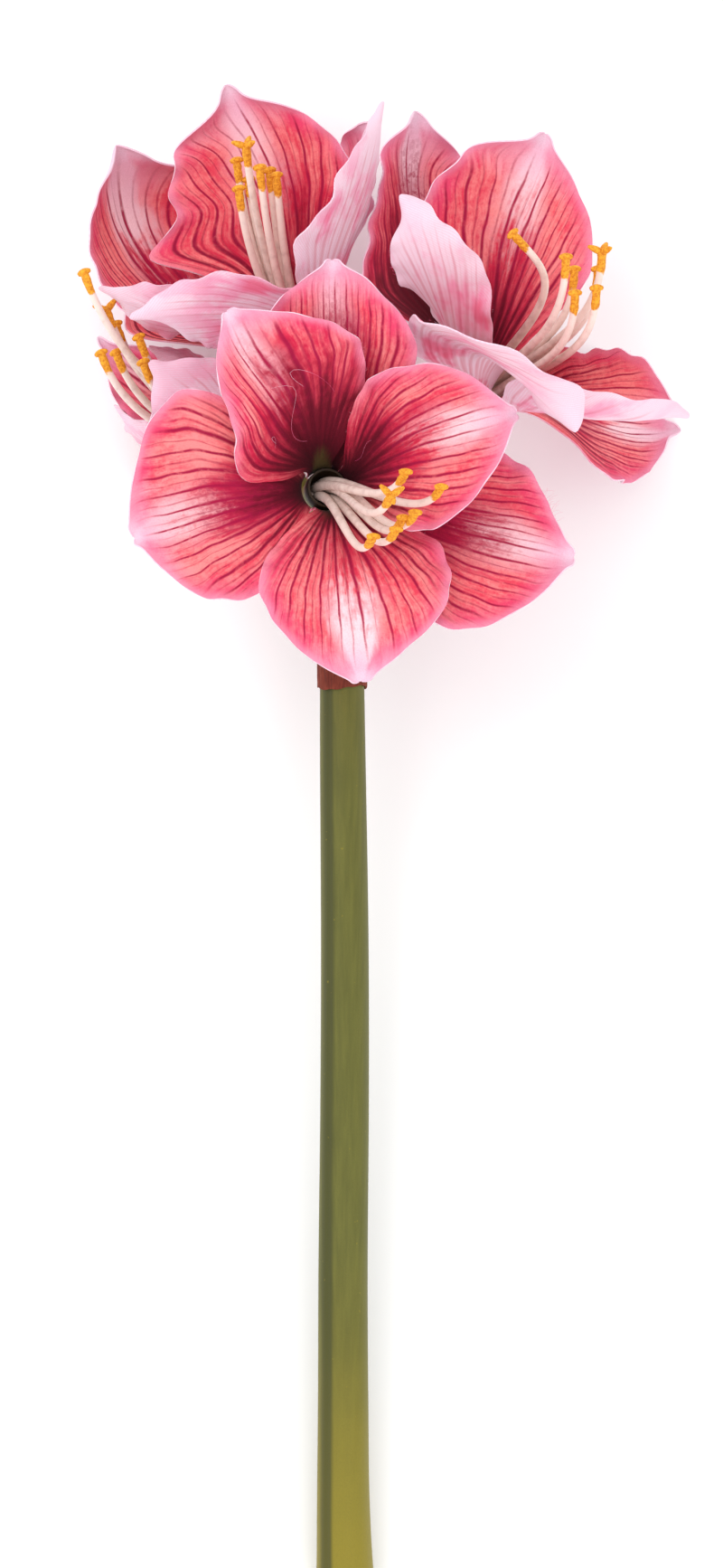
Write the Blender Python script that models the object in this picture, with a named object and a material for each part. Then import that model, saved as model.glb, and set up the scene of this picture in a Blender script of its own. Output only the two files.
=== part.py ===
"""Amaryllis stem, cut and laid down: a thick green scape with four open blooms at its head.

Everything is modelled in the stalk frame, in millimetres: X to the right, Y along the scape towards the
blooms with zero at the top of the scape, and Z away from the surface that the stem lies on. The empty
"lying_stem" then tips that frame so that the rim of the cut end and a petal on each side rest on the surface.

A bloom has its own frame at its throat. Its axis points out of the flower, and azimuths go round the axis:
0 degrees is to the right, and 90 is upwards on a bloom that faces up.
"""

from dataclasses import dataclass, field
from math import cos, pi, radians, sin

import bpy
import numpy as np

# The scape: distance below its top, sideways bow and radius
STEM_STATIONS = (
    (0.0, 0.3, 9.5),
    (27.0, 0.5, 9.75),
    (121.0, 1.3, 10.3),
    (191.0, 1.2, 10.5),
    (261.0, 0.7, 10.65),
    (318.0, 0.8, 10.9),
    (366.0, 0.9, 11.5),
    (388.0, 1.4, 12.2),
    (398.0, 1.7, 12.8),
)
STEM_SIDES = 20

# What joins the blooms to the scape
COLLAR_RADIUS = 10.35
PEDICEL_RADIUS = 3.7
PEDICEL_RING = 5.75
# Radius and height of the cup's wall, from its foot up the outside and down into the throat
CUP_PROFILE = (
    (4.4, -34.0),
    (6.6, -29.0),
    (7.4, -23.0),
    (7.3, -16.0),
    (8.5, -8.0),
    (8.5, 0.0),
    (7.6, 0.0),
    (7.3, -4.0),
    (6.3, -9.0),
    (5.7, -12.0),
)
CUP_SIDES = 16
SEAT_GAP = 0.3

# Petals
PETAL_THICKNESS = 0.8
CLAW_DEPTH = 8.0
CLAW_RISE = 22.0
INNER_CLAW_RADIUS = 9.25
OUTER_CLAW_RADIUS = 10.5
PETAL_ROWS = (0, 0.08, 0.17, 0.26, 0.34, 0.42, 0.5, 0.58, 0.66, 0.74, 0.82, 0.9, 0.955, 1)
PETAL_COLUMNS = 6
# Half width along a petal, as shares of its length and of its greatest half width
OUTLINE = (
    (0, 0.18),
    (0.12, 0.2),
    (0.28, 0.48),
    (0.46, 0.88),
    (0.6, 1.0),
    (0.76, 0.82),
    (0.88, 0.44),
    (0.95, 0.2),
    (1, 0.1),
)

# Stamens and pistil
FILAMENT_RING = 3.6
FILAMENT_RADIUS = 1.6
FILAMENT_TIP_RADIUS = 1.3
FILAMENT_SIDES = 6
STYLE_RADIUS = 1.4
BOSS_BOTTOM = -11.7
BOSS_TOP = -8.2
BOSS_RADIUS = 5.2
ANTHER_REACH = 3.6
STIGMA_REACH = 6.0

# How the stalk frame lies on the surface: the surface passes this far below the scape's axis at its top,
# and rises towards the cut end
LYING_TILT = 4.7
SURFACE_DEPTH = 45.0
# Where the middle of the whole stem's footprint is, from the top of the scape
FOOTPRINT_MIDDLE = (18.2, -73.25)

METRES = 0.001


@dataclass
class Petal:
    """One petal. The midrib leaves the cup along the bloom's axis, heads for each bend and ends at its tip.

    Left and right are as seen on the inner face with the tip up.
    """

    azimuth: float
    outer: bool
    path: tuple
    left: float = 31.0
    right: float = 31.0
    cup: float = 25.0
    turn: tuple = (0.0, 0.0)
    roll: tuple = (0.0, 0.0)
    ruffle: float = 1.5
    waves: float = 2.5
    phase: float = 0.0
    opens: float = 0.42
    lobes: tuple = ()


@dataclass
class Bloom:
    name: str
    throat: tuple
    axis: tuple
    pedicel: float
    petals: dict
    filaments: tuple = ()
    finish: tuple = ()
    stigma: tuple = ()
    knees: dict = field(default_factory=dict)


BLOOMS = (
    Bloom(
        "front",
        throat=(-6, 75, 38),
        axis=(0.22, 0.18, 0.95),
        pedicel=120,
        petals={
            "left_top": Petal(
                121,
                False,
                ((-37, 118, 102), (-49, 148, 76)),
                20,
                43,
                cup=14,
                lobes=((0.37, 1, 17, 0.15), (0.22, 1, 2, 0.06)),
            ),
            "right_top": Petal(20, False, ((38, 100, 106), (74, 105, 80)), 34, 41, cup=36),
            "bottom": Petal(278, False, ((4, 26, 106), (8, -8, 76)), 44, 38, cup=14),
            "top": Petal(88, True, ((-4, 132, 86), (-4, 171, 60)), 34, 36),
            "left": Petal(196, True, ((-58, 66, 82), (-88, 53, 58)), 43, 52),
            "right": Petal(340, True, ((60, 52, 76), (99, 45, 54)), 36, 46, cup=18),
        },
        filaments=(
            (27, 79, 118),
            (42, 73, 110),
            (31, 62, 118),
            (26, 60, 113),
            (23, 55, 117),
            (13.5, 52, 116),
        ),
        finish=(0.25, 0.55, 0.8),
        stigma=(21, 69, 128),
    ),
    Bloom(
        "left",
        throat=(-16, 131, -5),
        axis=(-0.38, 0.8, 0.42),
        pedicel=210,
        petals={
            "far": Petal(
                90,
                False,
                ((-30, 215, -25), (-50, 251, -12)),
                44,
                42,
                lobes=((0.48, 1, 15, 0.08), (0.6, 1, -5, 0.05), (0.87, 1, 10, 0.06)),
            ),
            "near_left": Petal(210, False, ((-64, 144, 29), (-104, 161, 25)), 14, 16, turn=(50, 60)),
            "near_right": Petal(
                330,
                False,
                ((12, 197, 50), (18, 240, 35)),
                33,
                25,
                lobes=((0.85, -1, -3, 0.12), (0.45, -1, 9, 0.15)),
            ),
            "far_right": Petal(
                30,
                True,
                ((9, 203, -36), (12, 235, -18)),
                24,
                28,
                lobes=((0.88, 1, 9, 0.09),),
            ),
            "far_left": Petal(
                150,
                True,
                ((-70, 144, -43), (-105, 184, -51), (-98, 226, -30)),
                36,
                48,
                cup=30,
                lobes=((0.34, 1, 32, 0.12), (0.88, -1, 20, 0.11)),
            ),
            "near": Petal(262, True, ((-7, 150, 45), (-50, 152, 68), (-90, 147, 45)), 21, 32, turn=(20, 20)),
        },
        filaments=(
            (-45, 216, 18),
            (-44, 203, 32),
            (-40, 208, 15),
            (-35, 212, 33),
            (-31, 212, 15),
            (-28, 209, 28),
        ),
        finish=(-0.1, 0.95, 0.3),
        stigma=(-41, 222, 25),
    ),
    Bloom(
        "right",
        throat=(57, 113, 0),
        axis=(0.42, 0.62, 0.66),
        pedicel=30,
        petals={
            "far": Petal(90, False, ((75, 189, 8), (88, 229, 0)), 50, 34, lobes=((0.87, 1, 8, 0.06),)),
            "near_left": Petal(
                210,
                False,
                ((38, 165, 82), (25, 198, 70)),
                24,
                19,
                turn=(40, 50),
                lobes=((0.8, -1, 4, 0.15), (0.94, 1, 5, 0.05)),
            ),
            "near_right": Petal(
                336, False, ((112, 112, 60), (148, 105, 45)), 26, 44, cup=78, roll=(0, 45), ruffle=3
            ),
            "far_right": Petal(
                5,
                True,
                ((104, 110, -12), (126, 94, -58), (148, 103, -50)),
                36,
                29,
                cup=8,
                turn=(10, 0),
                lobes=((0.45, -1, 14, 0.15),),
            ),
            "far_left": Petal(
                132,
                True,
                ((18, 192, -5), (32, 239, -5)),
                38,
                35,
                cup=16,
                opens=0.3,
                lobes=((0.88, -1, 8, 0.08), (0.41, 1, 20, 0.1), (0.7, 1, -11, 0.13)),
            ),
            "near": Petal(
                270,
                True,
                ((42, 148, 78), (64, 132, 104), (99, 97, 91)),
                21,
                34,
                cup=16,
                turn=(-20, -80),
                ruffle=2.5,
                lobes=((0.88, 1, 6, 0.1), (0.93, -1, 6, 0.06)),
            ),
        },
        filaments=(
            (73, 182, 62),
            (95, 171, 82),
            (99, 167, 60),
            (99, 156, 76),
            (108, 158, 78),
            (109, 167, 60),
        ),
        finish=(0, 0.97, 0.25),
        stigma=(110.5, 174, 72),
        knees={0: ((104, 160, 47), (-0.65, 0.75, 0.2))},
    ),
    Bloom(
        "rear",
        throat=(-32, 84, -24),
        axis=(-0.8, 0.55, 0.15),
        pedicel=300,
        petals={
            "far": Petal(90, False, ((-88, 126, -40), (-106, 143, -34)), 20, 16),
            "near_low": Petal(210, False, ((-82, 86, -10), (-98, 112, -6)), 12, 24),
            "top": Petal(330, False, ((-60, 132, 2), (-83, 137, 4)), 17, 15),
            "far_top": Petal(35, False, ((-54, 122, -46), (-76, 130, -50)), 12, 16),
            "far_low": Petal(150, True, ((-84, 88, -46), (-82, 70, -51)), 28, 28),
            "near": Petal(270, False, ((-54, 106, 36), (-82, 129, 34)), 26, 26),
        },
        filaments=(
            (-110, 167, 36),
            (-97, 146, 12),
            (-87, 140, 22),
            (-103, 133, 26),
            (-97, 134, 10),
            (-85, 129, 26),
        ),
        finish=(-0.3, 0.9, 0.3),
        stigma=(-101, 152, 20),
    ),
)


def unit(vector):
    vector = np.asarray(vector, float)
    return vector / np.linalg.norm(vector, axis=-1, keepdims=True)


def ramp(value, low, high):
    """Smooth step from 0 at low to 1 at high."""
    share = np.clip((value - low) / (high - low), 0, 1)
    return share * share * (3 - 2 * share)


def smooth_through(points, at):
    """Smooth curve through points (place, value)."""
    places, values = np.array(points, float).T
    slopes = np.gradient(values, places)
    i = np.clip(np.searchsorted(places, at, side="right") - 1, 0, len(places) - 2)
    span = places[i + 1] - places[i]
    t = (at - places[i]) / span
    start = (2 * t**3 - 3 * t**2 + 1) * values[i] + (t**3 - 2 * t**2 + t) * span * slopes[i]
    end = (3 * t**2 - 2 * t**3) * values[i + 1] + (t**3 - t**2) * span * slopes[i + 1]
    return start + end


def bezier(controls, t):
    """Points of the Bezier curve with any number of controls."""
    t = np.asarray(t, float)[:, None]
    layer = [np.asarray(control, float) + 0 * t for control in controls]
    while len(layer) > 1:
        layer = [a + (b - a) * t for a, b in zip(layer, layer[1:])]
    return layer[0]


def follow(controls, start_across, shares, samples=161):
    """Places, directions and untwisted crosswise directions at shares of a Bezier curve's length."""
    line = bezier(controls, np.linspace(0, 1, samples))
    lengths = np.concatenate([[0], np.cumsum(np.linalg.norm(np.diff(line, axis=0), axis=1))])
    ahead = unit(np.gradient(line, axis=0))
    across = [unit(start_across - ahead[0] * np.dot(start_across, ahead[0]))]
    for direction in ahead[1:]:
        across.append(unit(across[-1] - direction * np.dot(across[-1], direction)))
    wanted = np.asarray(shares, float) * lengths[-1]

    def at_shares(values):
        return np.stack([np.interp(wanted, lengths, column) for column in np.array(values).T], axis=-1)

    spot = at_shares(line)
    ahead = unit(at_shares(ahead))
    across = at_shares(across)
    across = unit(across - ahead * np.sum(across * ahead, axis=1, keepdims=True))
    return spot, ahead, across


def bloom_frame(bloom):
    """Throat, axis, and the directions of azimuths 0 and 90."""
    axis = unit(bloom.axis)
    right = np.array([1.0, 0, 0])
    right = unit(right - axis * np.dot(right, axis))
    return np.array(bloom.throat, float), axis, right, np.cross(axis, right)


def petal_middle(bloom, petal, across_shares, along_shares):
    """Grid of points on the petal's middle surface, and its unit normals on the inner side."""
    throat, axis, right, up = bloom_frame(bloom)
    out = right * cos(radians(petal.azimuth)) + up * sin(radians(petal.azimuth))
    claw_radius = OUTER_CLAW_RADIUS if petal.outer else INNER_CLAW_RADIUS
    root = throat - axis * CLAW_DEPTH + out * claw_radius
    controls = [root, root + axis * (CLAW_DEPTH + CLAW_RISE), *petal.path]
    v = np.asarray(along_shares, float)
    spot, ahead, across = follow(controls, np.cross(axis, out), v)
    inward = np.cross(ahead, across)
    twist = ((0, 0), (0.3, 0), (0.65, petal.turn[0]), (1, petal.turn[1]))
    turn = np.radians(smooth_through(twist, v))[:, None]
    untwisted = across
    across = untwisted * np.cos(turn) + inward * np.sin(turn)
    inward = inward * np.cos(turn) - untwisted * np.sin(turn)

    s = np.linspace(-1, 1, 81)[None, :]
    v = v[:, None]
    width = np.where(s < 0, petal.right, petal.left) * smooth_through(OUTLINE, v)
    for place, side, amount, spread in petal.lobes:
        width = width + amount * np.exp(-(((v - place) / spread) ** 2)) * (s * side > 0)
    from_axis = spot - throat
    from_axis = np.linalg.norm(from_axis - np.outer(from_axis @ axis, axis), axis=1)[:, None]
    clasp = width * (ahead @ axis)[:, None] / from_axis
    free = ramp(v, 0.1, petal.opens)
    angle = s * ((1 - free) * clasp + free * radians(petal.cup))
    roll = np.where(s < 0, petal.roll[1], petal.roll[0])
    angle = angle + np.sign(s) * np.radians(roll) * ramp(np.abs(s), 0.35, 1) * ramp(v, 0.3, 0.6)
    step = width * 2 / (s.size - 1)

    def summed(slope):
        total = np.cumsum((slope[:, 1:] + slope[:, :-1]) / 2, axis=1)
        total = np.concatenate([np.zeros((len(v), 1)), total], axis=1)
        return total - total[:, s.size // 2][:, None]

    sideways = summed(np.cos(angle) * step)
    lift = summed(np.sin(angle) * step)
    wave = np.sin(2 * pi * petal.waves * v + petal.phase + 1.9 * (s > 0))
    lift = lift + petal.ruffle * np.abs(s) ** 2.5 * wave * ramp(v, 0.25, 0.55) * (1 - ramp(v, 0.86, 1))

    def at_columns(values):
        return np.array([np.interp(across_shares, s[0], row) for row in values])[:, :, None]

    middle = spot[:, None] + at_columns(sideways) * across[:, None] + at_columns(lift) * inward[:, None]
    normals = unit(np.cross(np.gradient(middle, axis=0), np.gradient(middle, axis=1)))
    return middle, normals


def surface_normal():
    """Upward direction from the surface that the stem lies on."""
    tilt = radians(LYING_TILT)
    return np.array([0.0, sin(tilt), cos(tilt)])


def height(points):
    """Height above the surface that the stem lies on."""
    return points @ surface_normal() + SURFACE_DEPTH * cos(radians(LYING_TILT))


def press(points, lowest):
    """Push points that lie too low up to the lowest allowed height."""
    short = np.maximum(lowest - height(points), 0)
    return points + short[..., None] * surface_normal()


def grid_faces(rows, columns, start, flip):
    """Triangles of a grid of points, split along the same diagonals whichever way the face looks."""
    faces = []
    for row in range(rows):
        for column in range(columns):
            a = start + row * (columns + 1) + column
            b = a + 1
            c = b + columns + 1
            d = c - 1
            pair = ((a, b, c), (a, c, d)) if (row + column) % 2 else ((a, b, d), (b, c, d))
            faces += [face[::-1] if flip else face for face in pair]
    return faces


def add_object(name, points, faces, material):
    """Object in the stalk frame, hung on the empty that lays the stem down."""
    mesh = bpy.data.meshes.new(name)
    mesh.from_pydata([tuple(point) for point in np.asarray(points, float) * METRES], [], faces)
    mesh.update()
    mesh.materials.append(material)
    piece = bpy.data.objects.new(name, mesh)
    bpy.context.collection.objects.link(piece)
    piece.parent = bpy.data.objects["lying_stem"]
    return piece


def add_petal(name, bloom, petal, material):
    """Thin closed blade: two faces split alike, and a rim."""
    rows = len(PETAL_ROWS) - 1
    columns = PETAL_COLUMNS
    middle, normals = petal_middle(bloom, petal, np.linspace(-1, 1, columns + 1), PETAL_ROWS)
    half = PETAL_THICKNESS / 2
    middle = press(middle, half)
    normals = unit(np.cross(np.gradient(middle, axis=0), np.gradient(middle, axis=1)))
    front = press(middle + normals * half, 0)
    back = press(middle - normals * half, 0)
    size = (rows + 1) * (columns + 1)
    faces = grid_faces(rows, columns, 0, True) + grid_faces(rows, columns, size, False)
    rim = [column for column in range(columns)]
    rim += [row * (columns + 1) + columns for row in range(rows)]
    rim += [rows * (columns + 1) + column for column in range(columns, 0, -1)]
    rim += [row * (columns + 1) for row in range(rows, 0, -1)]
    for a, b in zip(rim, rim[1:] + rim[:1]):
        faces += [(a, b, b + size), (a, b + size, a + size)]
    points = np.concatenate([front.reshape(-1, 3), back.reshape(-1, 3)])
    return add_object(name, points, faces, material)


def ring_body(rings):
    """Points and faces of a closed body through rings of points, capped at both ends."""
    sides = len(rings[0])
    points = np.concatenate(rings)
    faces = [tuple(range(sides))[::-1]]
    for k in range(len(rings) - 1):
        for i in range(sides):
            j = (i + 1) % sides
            faces.append((k * sides + i, k * sides + j, (k + 1) * sides + j, (k + 1) * sides + i))
    last = (len(rings) - 1) * sides
    faces.append(tuple(range(last, last + sides)))
    return points, faces


def tube_rings(controls, start_across, shares, radii, sides):
    """Rings of points round a Bezier curve."""
    spot, ahead, across = follow(controls, start_across, shares)
    third = np.cross(ahead, across)
    turns = np.arange(sides) * 2 * pi / sides
    return [
        spot[k] + radii[k] * (np.cos(turns)[:, None] * across[k] + np.sin(turns)[:, None] * third[k])
        for k in range(len(spot))
    ]


def add_stem(material):
    turns = np.arange(STEM_SIDES) * 2 * pi / STEM_SIDES + pi / STEM_SIDES
    rings = []
    for below, bow, radius in reversed(STEM_STATIONS):
        along = np.full(STEM_SIDES, -below)
        ring = np.stack([bow + radius * np.sin(turns), along, radius * np.cos(turns)], axis=1)
        rings.append(press(ring, 0))
    points, faces = ring_body(rings)
    return add_object("stem", points, faces, material)


def add_spathe(material):
    """Papery collar round the scape's top that opens into two pointed lobes."""
    sides = 20
    levels = ((-10.0, 0.0), (-4.0, 0.0), (2.0, 0.0), (4.0, 0.25), (4.0, 0.6), (4.0, 1.0))
    turns = np.arange(sides) * 2 * pi / sides
    lobe = np.abs(np.cos(turns + 0.5)) ** 1.4

    def wall(offset):
        rings = []
        for base, share in levels:
            y = base + share * 24 * lobe
            radius = COLLAR_RADIUS + offset + 9.5 * (share * lobe) ** 1.6
            rings.append(np.stack([0.3 + radius * np.sin(turns), y, radius * np.cos(turns)], axis=1))
        return rings

    rings = wall(0.45) + wall(-0.45)[::-1]
    count = len(rings)
    faces = []
    for k in range(count):
        for i in range(sides):
            j = (i + 1) % sides
            m = (k + 1) % count
            faces.append((k * sides + i, k * sides + j, m * sides + j))
            faces.append((k * sides + i, m * sides + j, m * sides + i))
    return add_object("spathe", np.concatenate(rings), faces, material)


def add_pedicel(bloom, material):
    throat, axis, right, up = bloom_frame(bloom)
    foot = throat + axis * (CUP_PROFILE[0][1] - SEAT_GAP)
    turn = radians(bloom.pedicel)
    start = np.array([0.3 + PEDICEL_RING * cos(turn), SEAT_GAP, PEDICEL_RING * sin(turn)])
    reach = np.linalg.norm(foot - start)
    controls = [start, start + np.array([0, 0.45 * reach, 0]), foot - axis * 0.35 * reach, foot]
    shares = np.linspace(0, 1, 7)
    rings = tube_rings(controls, np.array([1.0, 0, 0]), shares, [PEDICEL_RADIUS] * 7, 10)
    rings[0] = np.stack([rings[0][:, 0], np.full(10, SEAT_GAP), rings[0][:, 2]], axis=1)
    points, faces = ring_body(rings)
    return add_object("pedicel_" + bloom.name, points, faces, material)


def add_cup(bloom, material):
    throat, axis, right, up = bloom_frame(bloom)
    turns = np.arange(CUP_SIDES) * 2 * pi / CUP_SIDES
    around = np.cos(turns)[:, None] * right + np.sin(turns)[:, None] * up
    rings = [throat + axis * along + around * radius for radius, along in CUP_PROFILE]
    points, faces = ring_body(rings)
    return add_object("cup_" + bloom.name, points, faces, material)


def fused(name, base, others):
    """One body from overlapping ones: a Boolean union on a collection, applied, its objects then removed."""
    group = bpy.data.collections.new(name + "_repeats")
    bpy.context.scene.collection.children.link(group)
    for other in others:
        bpy.context.collection.objects.unlink(other)
        group.objects.link(other)
    union = base.modifiers.new("union", "BOOLEAN")
    union.operation = "UNION"
    union.operand_type = "COLLECTION"
    union.collection = group
    union.solver = "MANIFOLD"
    bpy.context.view_layer.update()
    evaluated = base.evaluated_get(bpy.context.evaluated_depsgraph_get())
    joined = bpy.data.meshes.new_from_object(evaluated)
    base.modifiers.remove(union)
    base.data = joined
    joined.name = name
    for other in others:
        bpy.data.objects.remove(other)
    bpy.data.collections.remove(group)
    return base


def add_stamens(bloom, material):
    """Six stamens and a pistil fused on one boss in the throat.

    Anthers lie across the tips of the stamens, and the stigma has three lobes.
    """
    throat, axis, right, up = bloom_frame(bloom)
    turns = np.arange(12) * 2 * pi / 12
    around = np.cos(turns)[:, None] * right + np.sin(turns)[:, None] * up
    ends = [throat + axis * along + around * BOSS_RADIUS for along in (BOSS_BOTTOM, BOSS_TOP)]
    points, faces = ring_body(ends)
    name = "stamens_" + bloom.name
    boss = add_object(name, points, faces, material)
    others = []

    def add_stalk(start, tip, radius, tip_radius, knee=None):
        reach = np.linalg.norm(tip - start)
        controls = [start, start + axis * reach * 0.4, tip - unit(bloom.finish) * reach * 0.35, tip]
        if knee:
            controls[2:3] = [np.array(knee[0]), tip - unit(knee[1]) * reach * 0.2]
        shares = np.linspace(0, 1, 7)
        radii = radius + (tip_radius - radius) * shares
        points, faces = ring_body(tube_rings(controls, right, shares, radii, FILAMENT_SIDES))
        others.append(add_object("stalk", points, faces, material))
        return unit(tip - controls[-2])

    def add_bud(ends, radii):
        middle = (np.array(ends[0]) + np.array(ends[1])) / 2
        shares = np.linspace(0, 1, len(radii))
        points, faces = ring_body(tube_rings([ends[0], middle, ends[1]], axis, shares, radii, 6))
        others.append(add_object("bud", points, faces, material))

    tips = np.array(bloom.filaments, float)
    bearings = [np.arctan2((tip - tips.mean(axis=0)) @ up, (tip - tips.mean(axis=0)) @ right) for tip in tips]
    order = np.argsort(bearings)
    for place, index in enumerate(order):
        turn = bearings[order[0]] + place * pi / 3
        foot = throat + axis * (BOSS_BOTTOM + 1) + FILAMENT_RING * (right * cos(turn) + up * sin(turn))
        knee = bloom.knees.get(int(index))
        ahead = add_stalk(foot, tips[index], FILAMENT_RADIUS, FILAMENT_TIP_RADIUS, knee)
        side = unit(np.cross(ahead, (0.3, 0.2, 1)))
        add_bud((tips[index] - side * ANTHER_REACH, tips[index] + side * ANTHER_REACH), (0.8, 1.5, 1.5, 0.8))
    stigma = np.array(bloom.stigma, float)
    ahead = add_stalk(throat + axis * (BOSS_BOTTOM + 1), stigma, STYLE_RADIUS, STYLE_RADIUS)
    side = unit(np.cross(ahead, axis + np.array([0.1, 0.3, 0])))
    other = np.cross(ahead, side)
    for turn in (0.3, 0.3 + 2 * pi / 3, 0.3 + 4 * pi / 3):
        end = stigma + ahead * 2.5 + STIGMA_REACH * (side * cos(turn) + other * sin(turn))
        add_bud((stigma - ahead * 0.5, end), (1.1, 1.5, 0.8))
    return fused(name, boss, others)


def add_material(name, colour, roughness):
    material = bpy.data.materials.new(name)
    material.use_nodes = True
    shader = material.node_tree.nodes["Principled BSDF"]
    shader.inputs["Base Color"].default_value = (*colour, 1)
    shader.inputs["Roughness"].default_value = roughness
    shader.inputs["Metallic"].default_value = 0
    return material


def main():
    for old in list(bpy.data.objects):
        bpy.data.objects.remove(old)
    frame = bpy.data.objects.new("lying_stem", None)
    bpy.context.collection.objects.link(frame)
    frame.rotation_euler = (radians(LYING_TILT), 0, 0)
    across, along = FOOTPRINT_MIDDLE
    frame.location = (-across * METRES, -along * METRES, SURFACE_DEPTH * cos(radians(LYING_TILT)) * METRES)

    green = add_material("scape_green", (0.16, 0.16, 0.04), 0.5)
    brown = add_material("spathe_brown", (0.21, 0.04, 0.02), 0.7)
    coral = add_material("petal_coral", (0.6, 0.1, 0.12), 0.85)
    ivory = add_material("filament_ivory", (0.75, 0.6, 0.5), 0.5)

    add_stem(green)
    add_spathe(brown)
    for bloom in BLOOMS:
        add_pedicel(bloom, green)
        add_cup(bloom, green)
        for name, petal in bloom.petals.items():
            add_petal("petal_" + bloom.name + "_" + name, bloom, petal, coral)
        add_stamens(bloom, ivory)


if __name__ == "__main__":
    main()
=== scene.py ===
"""Looks of the amaryllis stem: fabric petals, moulded stamens, scape and spathe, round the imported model.

Shapes are worked out in the stalk frame, in millimetres: X to the right, Y along the scape towards the blooms
with zero at the top of the scape, and Z away from the surface that the stem lies on. The petals repeat the
numbers of the construction, on finer grids.
"""

from dataclasses import dataclass, field
from math import atan2, cos, pi, radians, sin

import bpy
from bpy.props import FloatProperty, FloatVectorProperty, IntProperty, PointerProperty
from mathutils import Matrix, Vector
import numpy as np


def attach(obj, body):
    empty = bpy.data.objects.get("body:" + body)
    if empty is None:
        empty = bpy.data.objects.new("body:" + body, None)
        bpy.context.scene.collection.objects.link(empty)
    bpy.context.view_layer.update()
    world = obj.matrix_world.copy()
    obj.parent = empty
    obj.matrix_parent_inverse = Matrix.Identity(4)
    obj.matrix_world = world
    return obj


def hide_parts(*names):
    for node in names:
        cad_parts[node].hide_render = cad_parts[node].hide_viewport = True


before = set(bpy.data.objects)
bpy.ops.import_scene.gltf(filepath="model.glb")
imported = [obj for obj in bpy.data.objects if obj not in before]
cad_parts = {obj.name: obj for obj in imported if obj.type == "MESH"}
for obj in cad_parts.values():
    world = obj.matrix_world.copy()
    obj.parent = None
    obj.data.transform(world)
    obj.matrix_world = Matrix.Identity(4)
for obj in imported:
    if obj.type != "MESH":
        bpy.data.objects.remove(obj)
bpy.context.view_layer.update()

bl_info = {
    "name": "Amaryllis stem",
    "version": (1, 0, 0),
    "blender": (4, 5, 0),
    "location": "3D View > Sidebar > Amaryllis",
    "description": "Fabric amaryllis stem with four blooms, laid down",
    "category": "Add Mesh",
}

METRES = 0.001

# How the stalk frame lies on the surface
LYING_TILT = 4.7
SURFACE_DEPTH = 45.0
FOOTPRINT_MIDDLE = (18.2, -73.25)

# The view: its size in pixels, the scale at the scape, the point it is centred on and the camera's distance
PHOTO_SIZE = (800, 1734)
MM_PER_PIXEL = 0.39
AIM = (8.6, -51.5, 0.0)
CAMERA_DISTANCE = 4000.0
# The stage, in metres: half the floor's side, and the spot among the blooms that the lights point at
FLOOR_REACH = 6.0
LIT_SPOT = (0, 0.15, 0.05)

# The scape: distance below its top, sideways bow and radius
STEM_STATIONS = (
    (0.0, 0.3, 9.5), (27.0, 0.5, 9.75), (121.0, 1.3, 10.3), (191.0, 1.2, 10.5), (261.0, 0.7, 10.65),
    (318.0, 0.8, 10.9), (366.0, 0.9, 11.5), (388.0, 1.4, 12.2), (398.0, 1.7, 12.8),
)
COLLAR_RADIUS = 10.35
PEDICEL_RADIUS = 3.7
PEDICEL_RING = 5.75
# Value that keeps the painted shade of the scape's groove off a piece
NO_GROOVE_SHADE = 5.0
# A cup's outside from foot to rim, then its inside from rim to floor: radius and place along the bloom's axis
CUP_OUTSIDE = ((4.4, -34.0), (6.6, -29.0), (7.4, -23.0), (7.3, -16.0), (8.5, -8.0), (8.5, 0.0))
CUP_INSIDE = ((7.6, 0.0), (7.3, -4.0), (6.3, -9.0), (5.7, -12.0))
SEAT_GAP = 0.3

# Petals
CLAW_DEPTH = 8.0
CLAW_RISE = 22.0
INNER_CLAW_RADIUS = 9.25
OUTER_CLAW_RADIUS = 10.5
MARGIN_WAVES = 2.5
# Where a petal's rounded end begins, as a share of its length, and how long it is
TIP_START = 0.974
TIP_LENGTH = 0.0265
# How far the margins turn up towards the tip, in degrees
TIP_CURL = 65.0
# Half width along a petal, as a share of its greatest
OUTLINE = (
    (0, 0.18), (0.12, 0.2), (0.28, 0.48), (0.46, 0.88), (0.6, 1.0), (0.76, 0.82), (0.88, 0.44),
    (0.95, 0.2), (1, 0.1),
)
# How far the veins spread along a petal: an inner one's fan out to the margin, an outer one's run beside it
INNER_FAN = (
    (0, 0.17), (0.12, 0.2), (0.28, 0.58), (0.46, 1.2), (0.6, 1.65), (0.76, 2.0), (0.88, 2.1), (1, 2.1),
)
OUTER_FAN = (
    (0, 0.17), (0.12, 0.2), (0.28, 0.54), (0.46, 1.06), (0.6, 1.36), (0.76, 1.55), (0.88, 1.55), (1, 1.5),
)
# Dyes and painted shade by bloom and petal: how far the dark wedge reaches along it, which side the wedge
# leans to, how pale its streak is and how green its foot is. On some petals the reach and lean also paint a
# neighbour's shadow.
PLAIN_DYE = (0.36, 0.0, 0.7, 0.0)
DYES_AND_SHADE = {
    ("front", "left_top"): (0.6, -0.5, 0.7, 1.0),
    ("front", "right_top"): (0.44, 0.35, 0.9, 0.0),
    ("front", "bottom"): (0.27, 0.0, 1.1, 0.3),
    ("front", "top"): (0.56, -0.2, 0.5, 0.0),
    ("front", "left"): (0.44, 0.0, 0.65, 0.0),
    ("front", "right"): (0.46, 0.0, 0.8, 0.0),
    ("left", "far"): (0.42, -0.55, 0.8, 0.0),
    ("left", "far_left"): (0.36, 0.0, 1.4, 0.0),
    ("right", "far"): (0.4, 0.0, 0.9, 0.0),
    ("right", "far_left"): (0.62, 0.6, 1.2, 0.0),
    ("right", "near_right"): (0.28, 0.0, 0.3, 0.0),
    ("right", "far_right"): (0.28, 0.0, 1.0, 0.0),
}

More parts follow.
